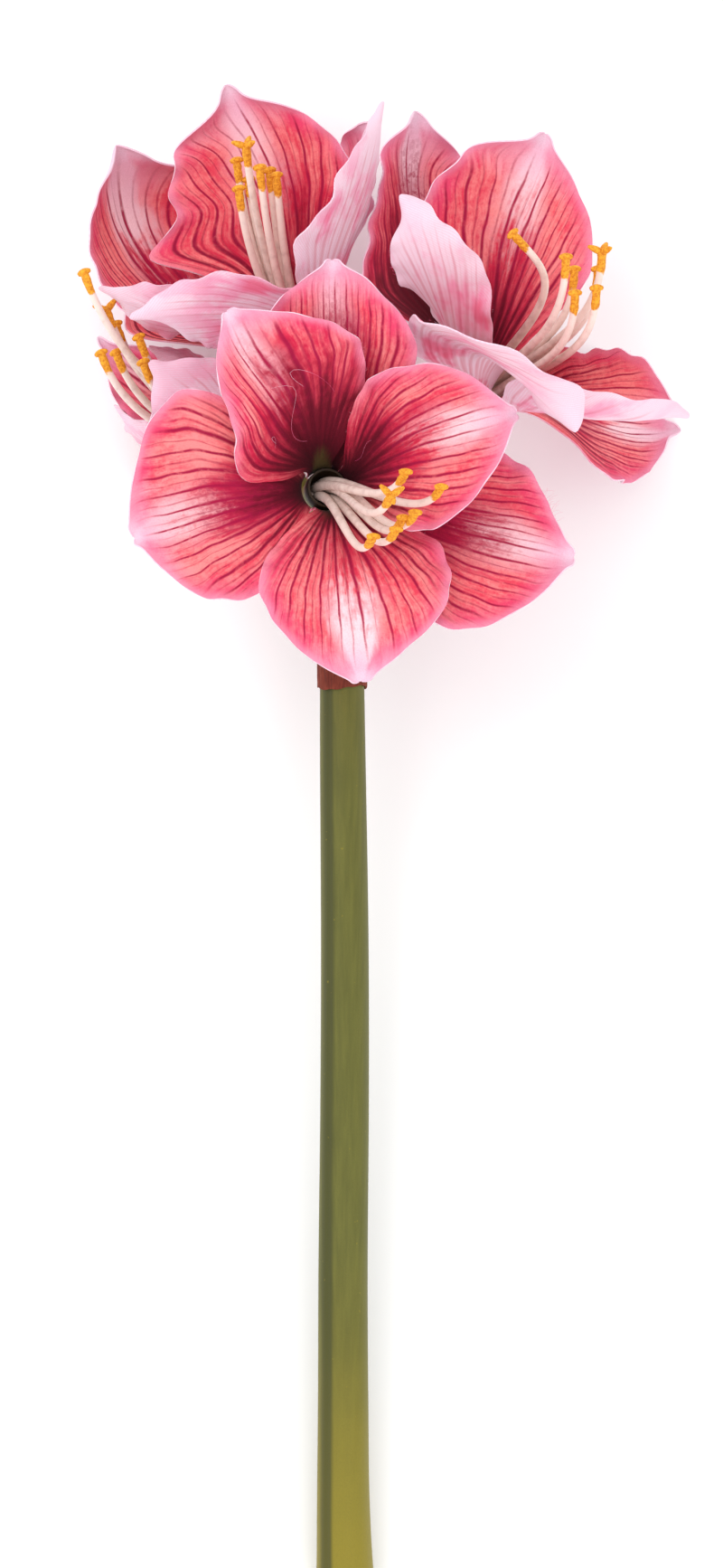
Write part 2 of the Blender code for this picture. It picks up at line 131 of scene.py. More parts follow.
# Stamens and pistil
FILAMENT_RING = 3.6
BOSS_BOTTOM = -11.7
BOSS_TOP = -8.2
BOSS_RADIUS = 5.2
ANTHER_REACH = 3.6
STIGMA_REACH = 6.0
BUD_RADIUS = 1.5
# Value that keeps the gold dip off a piece
UNDIPPED = 90.0

# The spathe: height of its foot and of its rim over the scape's top, and how far its lobes rise and flare
SPATHE_FOOT = -10.0
SPATHE_RIM = 4.0
LOBE_RISE = 24
LOBE_FLARE = 9.5

# Loose fibres: the seed of their random draws, and the radii of a frayed end and of a thread
FIBRE_SEED = 5
FRAY_RADIUS = 0.045
THREAD_RADIUS = 0.07
# Tufts of fibres by bloom and petal: side of the midrib, span along the petal, count and length
TUFTS = {
    ("front", "right"): (1, 0.8, 0.9, 16, 6.0),
    ("right", "far"): (1, 0.8, 0.93, 12, 2.5),
    ("right", "near_left"): (-1, 0.5, 0.8, 12, 2.0),
}
# Loose threads in the front throat: the petal they lie on, then places across and along it and their lift
THREADS = (
    ("left_top", ((-0.05, 0.3, 1), (0.3, 0.36, 4), (0.1, 0.5, 2), (-0.5, 0.55, 5), (0.0, 0.62, 3))),
    ("left_top", ((-0.3, 0.55, 1), (-0.1, 0.72, 4), (-0.5, 0.6, 5), (-0.6, 0.45, 2))),
    ("left_top", ((0.35, 0.4, 1), (0.45, 0.46, 3), (0.25, 0.44, 3), (0.4, 0.38, 1))),
    ("bottom", ((0.1, 0.2, 1), (0.3, 0.24, 4), (0.0, 0.32, 3), (0.2, 0.3, 1))),
    ("right_top", ((0.5, 0.2, 1), (0.2, 0.26, 4), (0.6, 0.3, 3), (0.4, 0.36, 1))),
)


@dataclass
class Petal:
    """One petal. The midrib leaves the cup along the bloom's axis, heads for each bend and ends at its tip.

    Left and right are as seen on the inner face with the tip up, and are its greatest half widths. Cup is how
    far the margins rise, turn twists the upper part, and roll curls the left and the right margin, all in
    degrees. From opens on, a share of the length, the petal no longer clasps the throat. A lobe is a place
    along the petal, a side, and how far and how widely it stands out.
    """

    azimuth: float
    outer: bool
    path: tuple
    left: float = 31.0
    right: float = 31.0
    cup: float = 25.0
    turn: tuple = (0.0, 0.0)
    roll: tuple = (0.0, 0.0)
    ruffle: float = 1.5
    opens: float = 0.42
    lobes: tuple = ()


@dataclass
class Bloom:
    """One bloom: its throat, the direction that it faces and its pedicel's place round the scape in degrees.

    Filaments are the tips of the stalks, and finish is the direction in which they end. A knee gives the
    stalk of that number a bend and an ending of its own.
    """

    name: str
    throat: tuple
    axis: tuple
    pedicel: float
    petals: dict
    filaments: tuple = ()
    finish: tuple = ()
    stigma: tuple = ()
    knees: dict = field(default_factory=dict)


BLOOMS = (
    Bloom(
        "front",
        throat=(-6, 75, 38),
        axis=(0.22, 0.18, 0.95),
        pedicel=120,
        petals={
            "left_top": Petal(
                121, False, ((-37, 118, 102), (-49, 148, 76)), 20, 43, cup=14,
                lobes=((0.37, 1, 17, 0.15), (0.22, 1, 2, 0.06)),
            ),
            "right_top": Petal(20, False, ((38, 100, 106), (74, 105, 80)), 34, 41, cup=36),
            "bottom": Petal(278, False, ((4, 26, 106), (8, -8, 76)), 44, 38, cup=14),
            "top": Petal(88, True, ((-4, 132, 86), (-4, 171, 60)), 34, 36),
            "left": Petal(196, True, ((-58, 66, 82), (-88, 53, 58)), 43, 52),
            "right": Petal(340, True, ((60, 52, 76), (99, 45, 54)), 36, 46, cup=18),
        },
        filaments=(
            (27, 79, 118), (42, 73, 110), (31, 62, 118), (26, 60, 113), (23, 55, 117), (13.5, 52, 116),
        ),
        finish=(0.25, 0.55, 0.8),
        stigma=(21, 69, 128),
    ),
    Bloom(
        "left",
        throat=(-16, 131, -5),
        axis=(-0.38, 0.8, 0.42),
        pedicel=210,
        petals={
            "far": Petal(
                90, False, ((-30, 215, -25), (-50, 251, -12)), 44, 42,
                lobes=((0.48, 1, 15, 0.08), (0.6, 1, -5, 0.05), (0.87, 1, 10, 0.06)),
            ),
            "near_left": Petal(210, False, ((-64, 144, 29), (-104, 161, 25)), 14, 16, turn=(50, 60)),
            "near_right": Petal(
                330, False, ((12, 197, 50), (18, 240, 35)), 33, 25,
                lobes=((0.85, -1, -3, 0.12), (0.45, -1, 9, 0.15)),
            ),
            "far_right": Petal(
                30, True, ((9, 203, -36), (12, 235, -18)), 24, 28, lobes=((0.88, 1, 9, 0.09),),
            ),
            "far_left": Petal(
                150, True, ((-70, 144, -43), (-105, 184, -51), (-98, 226, -30)), 36, 48, cup=30,
                lobes=((0.34, 1, 32, 0.12), (0.88, -1, 20, 0.11)),
            ),
            "near": Petal(262, True, ((-7, 150, 45), (-50, 152, 68), (-90, 147, 45)), 21, 32, turn=(20, 20)),
        },
        filaments=(
            (-45, 216, 18), (-44, 203, 32), (-40, 208, 15), (-35, 212, 33), (-31, 212, 15), (-28, 209, 28),
        ),
        finish=(-0.1, 0.95, 0.3),
        stigma=(-41, 222, 25),
    ),
    Bloom(
        "right",
        throat=(57, 113, 0),
        axis=(0.42, 0.62, 0.66),
        pedicel=30,
        petals={
            "far": Petal(90, False, ((75, 189, 8), (88, 229, 0)), 50, 34, lobes=((0.87, 1, 8, 0.06),)),
            "near_left": Petal(
                210, False, ((38, 165, 82), (25, 198, 70)), 24, 19, turn=(40, 50),
                lobes=((0.8, -1, 4, 0.15), (0.94, 1, 5, 0.05)),
            ),
            "near_right": Petal(
                336, False, ((112, 112, 60), (148, 105, 45)), 26, 44, cup=78, roll=(0, 45), ruffle=3,
            ),
            "far_right": Petal(
                5, True, ((104, 110, -12), (126, 94, -58), (148, 103, -50)), 36, 29, cup=8, turn=(10, 0),
                lobes=((0.45, -1, 14, 0.15),),
            ),
            "far_left": Petal(
                132, True, ((18, 192, -5), (32, 239, -5)), 38, 35, cup=16, opens=0.3,
                lobes=((0.88, -1, 8, 0.08), (0.41, 1, 20, 0.1), (0.7, 1, -11, 0.13)),
            ),
            "near": Petal(
                270, True, ((42, 148, 78), (64, 132, 104), (99, 97, 91)), 21, 34, cup=16, turn=(-20, -80),
                ruffle=2.5, lobes=((0.88, 1, 6, 0.1), (0.93, -1, 6, 0.06)),
            ),
        },
        filaments=(
            (73, 182, 62), (95, 171, 82), (99, 167, 60), (99, 156, 76), (108, 158, 78), (109, 167, 60),
        ),
        finish=(0, 0.97, 0.25),
        stigma=(110.5, 174, 72),
        knees={0: ((104, 160, 47), (-0.65, 0.75, 0.2))},
    ),
    Bloom(
        "rear",
        throat=(-32, 84, -24),
        axis=(-0.8, 0.55, 0.15),
        pedicel=300,
        petals={
            "far": Petal(90, False, ((-88, 126, -40), (-106, 143, -34)), 20, 16),
            "near_low": Petal(210, False, ((-82, 86, -10), (-98, 112, -6)), 12, 24),
            "top": Petal(330, False, ((-60, 132, 2), (-83, 137, 4)), 17, 15),
            "far_top": Petal(35, False, ((-54, 122, -46), (-76, 130, -50)), 12, 16),
            "far_low": Petal(150, True, ((-84, 88, -46), (-82, 70, -51)), 28, 28),
            "near": Petal(270, False, ((-54, 106, 36), (-82, 129, 34)), 26, 26),
        },
        filaments=(
            (-110, 167, 36), (-97, 146, 12), (-87, 140, 22), (-103, 133, 26), (-97, 134, 10),
            (-85, 129, 26),
        ),
        finish=(-0.3, 0.9, 0.3),
        stigma=(-101, 152, 20),
    ),
)


def unit(vector):
    vector = np.asarray(vector, float)
    return vector / np.linalg.norm(vector, axis=-1, keepdims=True)


def ramp(value, low, high):
    """Smooth step from 0 at low to 1 at high."""
    share = np.clip((value - low) / (high - low), 0, 1)
    return share * share * (3 - 2 * share)


def smooth_through(points, at):
    """Smooth curve through points (place, value)."""
    places, values = np.array(points, float).T
    slopes = np.gradient(values, places)
    i = np.clip(np.searchsorted(places, at, side="right") - 1, 0, len(places) - 2)
    span = places[i + 1] - places[i]
    t = (at - places[i]) / span
    start = (2 * t**3 - 3 * t**2 + 1) * values[i] + (t**3 - 2 * t**2 + t) * span * slopes[i]
    end = (3 * t**2 - 2 * t**3) * values[i + 1] + (t**3 - t**2) * span * slopes[i + 1]
    return start + end


def bezier(controls, t):
    """Points of the Bezier curve with any number of controls."""
    t = np.asarray(t, float)[:, None]
    layer = [np.asarray(control, float) + 0 * t for control in controls]
    while len(layer) > 1:
        layer = [a + (b - a) * t for a, b in zip(layer, layer[1:])]
    return layer[0]


def follow(controls, start_across, shares, samples=161):
    """Places, directions and untwisted crosswise directions at shares of a Bezier curve, and its length."""
    line = bezier(controls, np.linspace(0, 1, samples))
    lengths = np.concatenate([[0], np.cumsum(np.linalg.norm(np.diff(line, axis=0), axis=1))])
    ahead = unit(np.gradient(line, axis=0))
    across = [unit(start_across - ahead[0] * np.dot(start_across, ahead[0]))]
    for direction in ahead[1:]:
        across.append(unit(across[-1] - direction * np.dot(across[-1], direction)))
    wanted = np.asarray(shares, float) * lengths[-1]

    def at_shares(values):
        return np.stack([np.interp(wanted, lengths, column) for column in np.array(values).T], axis=-1)

    spot = at_shares(line)
    ahead = unit(at_shares(ahead))
    across = at_shares(across)
    across = unit(across - ahead * np.sum(across * ahead, axis=1, keepdims=True))
    return spot, ahead, across, lengths[-1]


def bloom_frame(bloom):
    """Throat, axis, and the directions of azimuths 0 and 90."""
    axis = unit(bloom.axis)
    right = np.array([1.0, 0, 0])
    right = unit(right - axis * np.dot(right, axis))
    return np.array(bloom.throat, float), axis, right, np.cross(axis, right)


def surface_normal():
    """Upward direction from the surface that the stem lies on."""
    tilt = radians(LYING_TILT)
    return np.array([0.0, sin(tilt), cos(tilt)])


def press(points, lowest):
    """Push points that lie too low up to the lowest allowed height over the surface."""
    height = points @ surface_normal() + SURFACE_DEPTH * cos(radians(LYING_TILT))
    short = np.maximum(lowest - height, 0)
    return points + short[..., None] * surface_normal()


def laid(points):
    """Stalk-frame points in millimetres as places in the part's own frame, in metres."""
    across, along = FOOTPRINT_MIDDLE
    tilt = Matrix.Rotation(radians(LYING_TILT), 3, "X")
    shift = np.array([-across, -along, SURFACE_DEPTH * cos(radians(LYING_TILT))])
    return (np.asarray(points, float) @ np.array(tilt).T + shift) * METRES


def petal_widths(petal, s, v):
    """Half widths over a petal: its outline with lobes and small waves, rounded off at the tip."""
    width = np.where(s < 0, petal.right, petal.left) * smooth_through(OUTLINE, v)
    for place, side, amount, spread in petal.lobes:
        width = width + amount * np.exp(-(((v - place) / spread) ** 2)) * (s * side > 0)
    wobble = np.sin(2 * pi * 3.4 * v + petal.azimuth + 2 * (s > 0))
    wobble = wobble + 0.6 * np.sin(2 * pi * 8.3 * v + petal.azimuth)
    width = width * (1 + 0.016 * wobble * ramp(v, 0.3, 0.5))
    return width * np.sqrt(np.clip(1 - (np.maximum(v - TIP_START, 0) / TIP_LENGTH) ** 2, 0, 1))


def petal_relief(petal, s, v, width, crease):
    """Height of a petal's ruffles and fine ripples at the margin, less the crease along its midrib."""
    wave = np.sin(2 * pi * MARGIN_WAVES * v + 1.9 * (s > 0))
    ruffles = petal.ruffle * np.abs(s) ** 2.5 * wave * ramp(v, 0.25, 0.55) * (1 - ramp(v, 0.86, 1))
    phase = 2.3 * petal.azimuth + 2.6 * (s > 0)
    fine = np.sin(2 * pi * 4.6 * v + phase) + 0.7 * np.sin(2 * pi * 9.5 * v + 1.7 * phase)
    ripples = 1.3 * crease * fine * np.abs(s) ** 4 * ramp(v, 0.25, 0.5) * (1 - ramp(v, 0.82, 0.97))
    groove = crease * np.exp(-((s * width / 1.6) ** 2)) * ramp(v, 0.1, 0.3) * (1 - ramp(v, 0.7, 0.95))
    return ruffles + ripples - groove


def petal_middle(bloom, petal, across_shares, along_shares, crease):
    """Grid of points on the petal's middle surface, its half widths on both sides, and its length."""
    throat, axis, right, up = bloom_frame(bloom)
    out = right * cos(radians(petal.azimuth)) + up * sin(radians(petal.azimuth))
    claw_radius = OUTER_CLAW_RADIUS if petal.outer else INNER_CLAW_RADIUS
    root = throat - axis * CLAW_DEPTH + out * claw_radius
    controls = [root, root + axis * (CLAW_DEPTH + CLAW_RISE), *petal.path]
    v = np.asarray(along_shares, float)
    spot, ahead, across, length = follow(controls, np.cross(axis, out), v)
    inward = np.cross(ahead, across)
    twist = ((0, 0), (0.3, 0), (0.65, petal.turn[0]), (1, petal.turn[1]))
    turn = np.radians(smooth_through(twist, v))[:, None]
    untwisted = across
    across = untwisted * np.cos(turn) + inward * np.sin(turn)
    inward = inward * np.cos(turn) - untwisted * np.sin(turn)

    s = np.linspace(-1, 1, 81)[None, :]
    v = v[:, None]
    width = petal_widths(petal, s, v)
    from_axis = spot - throat
    from_axis = np.linalg.norm(from_axis - np.outer(from_axis @ axis, axis), axis=1)[:, None]
    clasp = width * (ahead @ axis)[:, None] / from_axis
    free = ramp(v, 0.1, petal.opens)
    angle = s * ((1 - free) * clasp + free * radians(petal.cup))
    roll = np.where(s < 0, petal.roll[1], petal.roll[0])
    angle = angle + np.sign(s) * np.radians(roll) * ramp(np.abs(s), 0.35, 1) * ramp(v, 0.3, 0.6)
    angle = angle + s * radians(TIP_CURL) * ramp(v, 0.86, 0.97)
    step = width * 2 / (s.size - 1)

    def summed(slope):
        total = np.cumsum((slope[:, 1:] + slope[:, :-1]) / 2, axis=1)
        total = np.concatenate([np.zeros((len(v), 1)), total], axis=1)
        return total - total[:, s.size // 2][:, None]

    sideways = summed(np.cos(angle) * step)
    lift = summed(np.sin(angle) * step) + petal_relief(petal, s, v, width, crease)

    def at_columns(values):
        return np.array([np.interp(across_shares, s[0], row) for row in values])

    middle = spot[:, None] + at_columns(sideways)[..., None] * across[:, None]
    middle = middle + at_columns(lift)[..., None] * inward[:, None]
    return middle, at_columns(width), length


def grid_faces(rows, columns, start, flip):
    """Four-sided faces of a grid of points."""
    faces = []
    for row in range(rows):
        for column in range(columns):
            a = start + row * (columns + 1) + column
            face = (a, a + 1, a + columns + 2, a + columns + 1)
            faces.append(face[::-1] if flip else face)
    return faces


def ring_faces(count, sides, closed=False):
    """Four-sided faces between rings of points, and from the last ring to the first where closed."""
    faces = []
    for k in range(count if closed else count - 1):
        m = (k + 1) % count
        for i in range(sides):
            j = (i + 1) % sides
            faces.append((k * sides + i, k * sides + j, m * sides + j, m * sides + i))
    return faces


class Body:
    """Points, faces and per-point values of a piece, gathered shape by shape."""

    def __init__(self):
        self.points = []
        self.faces = []
        self.values = {}
        self.count = 0

    def add(self, points, faces, **values):
        points = np.asarray(points, float).reshape(-1, 3)
        self.faces += [tuple(index + self.count for index in face) for face in faces]
        self.points.append(points)
        for name, value in values.items():
            self.values.setdefault(name, []).append(np.broadcast_to(np.ravel(value), len(points)))
        self.count += len(points)

    def tube(self, rings, **values):
        """Closed body through rings of points, with fanned caps. Values go by ring."""
        sides = len(rings[0])
        last = (len(rings) - 1) * sides
        caps = [tuple(range(sides))[::-1], tuple(range(last, last + sides))]
        faces = caps[:1] + ring_faces(len(rings), sides) + caps[1:]
        spread = {name: np.repeat(value, sides) for name, value in values.items()}
        self.add(np.concatenate(rings), faces, **spread)


def full_turn(sides):
    """Angles of evenly spaced places round a ring."""
    return np.arange(sides) * 2 * pi / sides


def spokes(turns, first, second):
    """Directions at angles from the first direction towards the second, one a row."""
    return np.cos(turns)[:, None] * first + np.sin(turns)[:, None] * second


def towards_end(count):
    """Shares of a length that lie closer together towards its end."""
    return 1 - (1 - np.linspace(0, 1, count)) ** 1.3


def tube_rings(controls, start_across, shares, radii, sides):
    """Rings of points round a Bezier curve, and its length."""
    spot, ahead, across, length = follow(controls, start_across, shares)
    third = np.cross(ahead, across)
    turns = full_turn(sides)
    return [spot[k] + radii[k] * spokes(turns, across[k], third[k]) for k in range(len(spot))], length


def add_piece(name, body, materials, nodes, second=None, sharp=40.0):
    """Mesh piece in the part's own frame that rides on the root and stands for the named nodes.

    Faces from the index in second on take the second material.
    """
    mesh = bpy.data.meshes.new(name)
    mesh.from_pydata([tuple(point) for point in laid(np.concatenate(body.points))], [], body.faces)
    for value_name, values in body.values.items():
        attribute = mesh.attributes.new(value_name, "FLOAT", "POINT")
        attribute.data.foreach_set("value", np.concatenate(values).astype(np.float32))
    for material in materials:
        mesh.materials.append(material)
    if second is not None:
        for polygon in mesh.polygons[second:]:
            polygon.material_index = 1
    mesh.shade_smooth()
    mesh.set_sharp_from_angle(angle=radians(sharp))
    mesh.update()
    piece = bpy.data.objects.new(name, mesh)
    bpy.context.scene.collection.objects.link(piece)
    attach(piece, "root")
    if nodes:
        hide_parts(*nodes)
    return piece


def screen(red, green, blue):
    """Linear colour of screen values from 0 to 255."""
    shares = [value / 255 for value in (red, green, blue)]
    return tuple(s / 12.92 if s <= 0.04045 else ((s + 0.055) / 1.055) ** 2.4 for s in shares)


def math_method(operation, swapped=False):
    """Method of a socket that adds a Math node on it and, where the operation takes two, another value."""

    def method(self, *other):
        inputs = (*other, self) if swapped else (self, *other)
        return self.finish.node("ShaderNodeMath", {"operation": operation}, dict(enumerate(inputs)))

    return method


class Value:
    """A socket in a material. Operators on it add Math nodes."""

    __add__ = math_method("ADD")
    __radd__ = math_method("ADD", swapped=True)
    __sub__ = math_method("SUBTRACT")
    __rsub__ = math_method("SUBTRACT", swapped=True)
    __mul__ = math_method("MULTIPLY")
    __rmul__ = math_method("MULTIPLY", swapped=True)
    __truediv__ = math_method("DIVIDE")
    __rtruediv__ = math_method("DIVIDE", swapped=True)
    __pow__ = math_method("POWER")
    __rpow__ = math_method("POWER", swapped=True)
    __abs__ = math_method("ABSOLUTE")
    whole = math_method("FLOOR")
    part = math_method("FRACT")
    wave = math_method("SINE")
    most = math_method("MAXIMUM")
    least = math_method("MINIMUM")

    def __init__(self, finish, socket):
        self.finish = finish
        self.socket = socket

    def between(self, low, high):
        """Smooth step from 0 at low to 1 at high, or the other way round where low is larger."""
        inputs = {"Value": self, "From Min": low, "From Max": high}
        return self.finish.node("ShaderNodeMapRange", {"interpolation_type": "SMOOTHSTEP"}, inputs)


class Finish:
    """A material being made. Its colour is painted on layer by layer."""

    def __init__(self, name):
        self.material = bpy.data.materials.new(name)
        self.material.use_nodes = True
        self.tree = self.material.node_tree
        self.shader = self.tree.nodes["Principled BSDF"]
        self.colour = None

    def node(self, kind, settings=None, inputs=None, output=0):
        """Adds a node: its settings first, then its sockets' values or links."""
        node = self.tree.nodes.new(kind)
        for name, value in (settings or {}).items():
            setattr(node, name, value)
        for name, value in (inputs or {}).items():
            self.join(node, name, value)
        outputs = [socket for socket in node.outputs if socket.enabled]
        return Value(self, outputs[output] if isinstance(output, int) else node.outputs[output])

    def join(self, node, name, value):
        """Sets a socket by its place or name."""
        if isinstance(name, int):
            socket = node.inputs[name]
        else:
            socket = next(s for s in node.inputs if s.name == name and s.enabled)
        if isinstance(value, Value):
            self.tree.links.new(value.socket, socket)
        elif socket.type == "RGBA":
            socket.default_value = (*tuple(value)[:3], 1)
        else:
            socket.default_value = value

    def attribute(self, name, output="Fac"):
        return self.node("ShaderNodeAttribute", {"attribute_name": name}, output=output)

    def vector(self, x, y, z):
        return self.node("ShaderNodeCombineXYZ", inputs={"X": x, "Y": y, "Z": z})

    def noise(self, vector, scale, detail=2.0, roughness=0.5):
        inputs = {"Vector": vector, "Scale": scale, "Detail": detail, "Roughness": roughness}
        return self.node("ShaderNodeTexNoise", inputs=inputs)

    def cloud(self, scale, detail=3.0, roughness=0.5, stretch=1.0):
        """Noise round zero over the object, drawn out along the stem where stretch is under 1."""
        place = self.node("ShaderNodeTexCoord", output="Object")
        if stretch != 1.0:
            factors = (1.0, stretch, 1.0)
            place = self.node("ShaderNodeVectorMath", {"operation": "MULTIPLY"}, {0: place, 1: factors})
        return self.noise(place, scale, detail, roughness) - 0.5

    def cells(self, x, y, detail=3.0, roughness=0.5):
        """Noise round zero over a petal's own coordinates, different on each petal."""
        return self.noise(self.vector(x, y, self.attribute("petal")), 1.0, detail, roughness) - 0.5

    def chance(self, vector):
        """Random value from 0 to 1 for each cell."""
        return self.node("ShaderNodeTexWhiteNoise", inputs={"Vector": vector})

    def mix(self, share, first, second):
        """Colour from first at 0 to second at 1."""
        settings = {"data_type": "RGBA"}
        return self.node("ShaderNodeMix", settings, {"Factor": share, "A": first, "B": second})

    def ground(self, tone, first, second, low=0.0, high=1.0):
        """Starts the colour as a mix of two."""
        self.colour = self.mix(tone.between(low, high), first, second)

    def coat(self, share, colour):
        """Lays a colour over the one so far."""
        self.colour = self.mix(share, self.colour, colour)

    def bump(self, height, distance, strength):
        inputs = {"Height": height, "Distance": distance, "Strength": strength}
        return self.node("ShaderNodeBump", inputs=inputs)

    def surface(self, **inputs):
        """Sets the shader's colour and its other sockets, with underscores for the spaces in their names."""
        self.join(self.shader, "Base Color", self.colour)
        for name, value in inputs.items():
            self.join(self.shader, name.replace("_", " "), value)
        return self.material


def vein_lines(finish, veins):
    """Shares of main veins and of their branches over a petal, and a coordinate that counts the main ones."""
    vein = finish.attribute("vein")
    along = finish.attribute("along")
    spread = finish.attribute("spread")
    margin = finish.attribute("margin")
    seed = finish.attribute("petal")
    drift = finish.cells(vein * 1.3, along * 1.5, 0.0)
    ripple = finish.cells(vein * 12.0, along * 7.0, 1.0)
    count = vein * veins + drift * 2.4 + ripple * 0.2
    spacing = spread / veins
    breaks = finish.noise(finish.vector(count * 2.0, along * 34.0, seed), 1.0, 2.0)

    def lines(place, thickness, start, salt):
        chance = finish.chance(finish.vector(place.whole(), seed, salt))
        away = abs(place.part() - 0.5) * spacing
        width = thickness * (0.7 + 0.6 * chance)
        line = away.between(width * 1.5, width * 0.3)
        line = line * (margin + breaks * 3.0).between(1.0 + 3.5 * chance, 6.0 + 8.0 * chance)
        line = line * (along + breaks * 0.1).between(1.02, 0.72 + 0.18 * chance)
        return line * along.between(start + 0.2 * chance, start + 0.12 + 0.2 * chance)

    strong = lines(count, 1.25 - along, -0.4, 0.0)
    branch = lines(count + along.between(0.25, 0.62) * 0.5, 0.6 - along * 0.36, 0.2, 7.0)
    return strong, branch * (0.35 + breaks), count


def weave(finish, pitch):
    """Height of the fabric's diagonal ribs and threads."""
    side = finish.attribute("side")
    run = finish.attribute("run")
    ribs = ((side + run) * (2 * pi / pitch * 0.7071)).wave()
    threads = ((run - side) * (2 * pi / (pitch * 0.6) * 0.7071)).wave()
    return ribs * 0.35 + threads * 0.15 + finish.cloud(2600.0, 1.0) + 0.5


def petal_face(look):
    """Inner face of a petal: dark wedge and flush in the throat, veins over coral, pale streak and rim."""
    f = Finish("petal_face")
    across = f.attribute("across")
    along = f.attribute("along")
    margin = f.attribute("margin")
    outer = f.attribute("outer")
    reach = f.attribute("reach")
    strong, branch, count = vein_lines(f, look.veins)
    streaks = f.cells(count * 1.1, along * 3.0, 3.0, 0.65)
    hairs = f.cells(count * 5.0, along * 9.0, 3.0, 0.7)
    dabs = f.cells(count * 2.3, along * 30.0, 3.0, 0.6)
    blotch = f.cloud(34.0)
    mottle = f.cloud(420.0, 3.0, 0.7)
    grain = f.cloud(1900.0, 2.0, 0.6)
    middle = abs(across)

    f.ground(streaks * 1.8 + hairs * 1.5 + blotch * 1.3 + mottle * 1.2 + 0.5, look.coral, look.salmon)
    rosy = (margin + blotch * 14.0 + streaks * 8.0).between(15.0, 2.0) * along.between(0.25, 0.6)
    f.coat(rosy * 0.42, look.rose)

    # Crimson flush round the dark wedge, which leans to one side; on some petals the lean and reach paint
    # shade, such as a neighbouring petal's shadow
    spine = abs(across - f.attribute("lean") * 0.7)
    wedge = along - reach + spine ** 1.3 * (0.34 + outer * 0.36)
    wedge = wedge + streaks * 0.55 + dabs * 0.3 + blotch * 0.2
    f.coat((wedge + hairs * 0.3).between(0.42, 0.02) * 0.85, look.crimson)

    # Bleached streak, tip and rim
    beam = (middle + blotch * 0.3 + streaks * 0.5 + hairs * 0.3).between(0.44, 0.08)
    beam = beam * (along + streaks * 0.5 + dabs * 0.25 + hairs * 0.3).between(0.5, 0.82)
    f.coat((beam * f.attribute("bleach")).least(0.92), look.cream)
    tip = (along + blotch * 0.12 + streaks * 0.16 + hairs * 0.06 - middle * 0.04).between(0.74, 0.98)
    f.coat(tip * 0.7, look.blush)
    rim = (margin + mottle * 2.0 + streaks * 3.0).between(5.5, 0.0) * along.between(0.3, 0.6)
    f.coat(rim * 0.42, look.blush)
    f.coat((along + mottle * 0.03).between(0.92, 0.985) * 0.75, look.white)

    # Veins, and the wine-coloured band and specks among them
    vein_colour = f.mix(along.between(0.2, 0.62), look.maroon, look.wine)
    freckle = (dabs * 2.0 + 0.66).between(0.1, 0.7)
    f.coat(strong * (0.5 + 0.48 * freckle), vein_colour)
    f.coat(branch * 0.62 * freckle, vein_colour)
    band = (along - reach + dabs * 0.5 + hairs * 0.3).between(0.34, 0.04)
    band = band * (middle + streaks * 0.5).between(0.5, 0.12)
    f.coat(band * outer * 0.62, look.wine)
    specks = (dabs + mottle * 0.5 + hairs * 0.3).between(0.0, 0.16) * (along - reach).between(0.42, 0.05)
    specks = specks * (middle + streaks * 0.3).between(0.55 - outer * 0.05, 0.1)
    f.coat(specks * (0.45 + outer * 0.45), look.wine)

    # Dark wedge, partly painted shade on some petals, deep throat and green foot, then the fabric's grain
    # with painted shade between its threads
    f.coat((wedge + hairs * 0.12).between(0.16, -0.2) * 0.9, look.maroon)
    depth = (along + streaks * 0.2 + middle * 0.1).between(0.1 + reach * 0.5, reach * 0.26)
    f.coat(depth * 0.85, look.throat)
    foot = (along + streaks * 0.1 + abs(across + 0.35) * 0.22).between(0.27, 0.15) * f.attribute("foot")
    f.coat(foot * 0.85, look.claw)
    f.coat((grain * 1.7 + 0.35).between(0.0, 1.0) * 0.2, look.shadow)

    height = weave(f, look.weave / METRES) * 0.3 - strong * 0.8 - branch * 0.4 + mottle * 0.8 + hairs * 0.5
    return f.surface(
        Roughness=0.82 + grain * 0.15,
        Specular_IOR_Level=0.15,
        Sheen_Weight=0.04,
        Sheen_Roughness=0.4,
        Normal=f.bump(height, 0.0002, 0.5),
    )


def petal_back(look):
    """Outer face of a petal: pale pink with warm blotches, faint veins and visible twill, with painted shade
    between the twill's ribs.
    """
    f = Finish("petal_back")
    along = f.attribute("along")
    strong, branch, count = vein_lines(f, look.veins)
    clouds = f.cells(f.attribute("side") * 0.06, f.attribute("run") * 0.04, 3.0, 0.55)
    streaks = f.cells(count * 0.7, along * 4.0, 3.0, 0.6)
    mottle = f.cloud(420.0, 3.0, 0.7)
    ribs = weave(f, look.weave / METRES)

    f.ground(clouds * 4.0 + streaks * 1.6 + mottle * 0.6 + 0.36, look.lavender, look.back_pink)
    f.coat((clouds * 4.0 + streaks * 1.6 - along * 1.5 + 0.75).between(0.2, 0.8) * 0.7, look.back_coral_and_rib_shade)
    f.coat(strong * 0.34 + branch * 0.12, look.crimson)
    pale = (along + clouds * 0.5 + streaks * 0.3).between(0.7, 0.98)
    pale = pale.most((f.attribute("margin") + mottle * 1.5).between(3.0, 0.3) * 0.5)
    f.coat(pale * 0.75, look.white)
    base = (along + abs(f.attribute("across")) * 0.08 + streaks * 0.2).between(0.26, 0.08)
    f.coat(base * 0.7, look.crimson)
    # Painted shade in the hollows between the twill's ribs
    f.coat((ribs - 0.5).between(0.45, -0.45) * 0.18, look.back_coral_and_rib_shade)

    return f.surface(
        Roughness=0.85 + mottle * 0.1,
        Specular_IOR_Level=0.15,
        Sheen_Weight=0.05,
        Sheen_Roughness=0.4,
        Normal=f.bump(ribs * 0.6 - strong * 0.4, 0.00022, 0.55),
    )


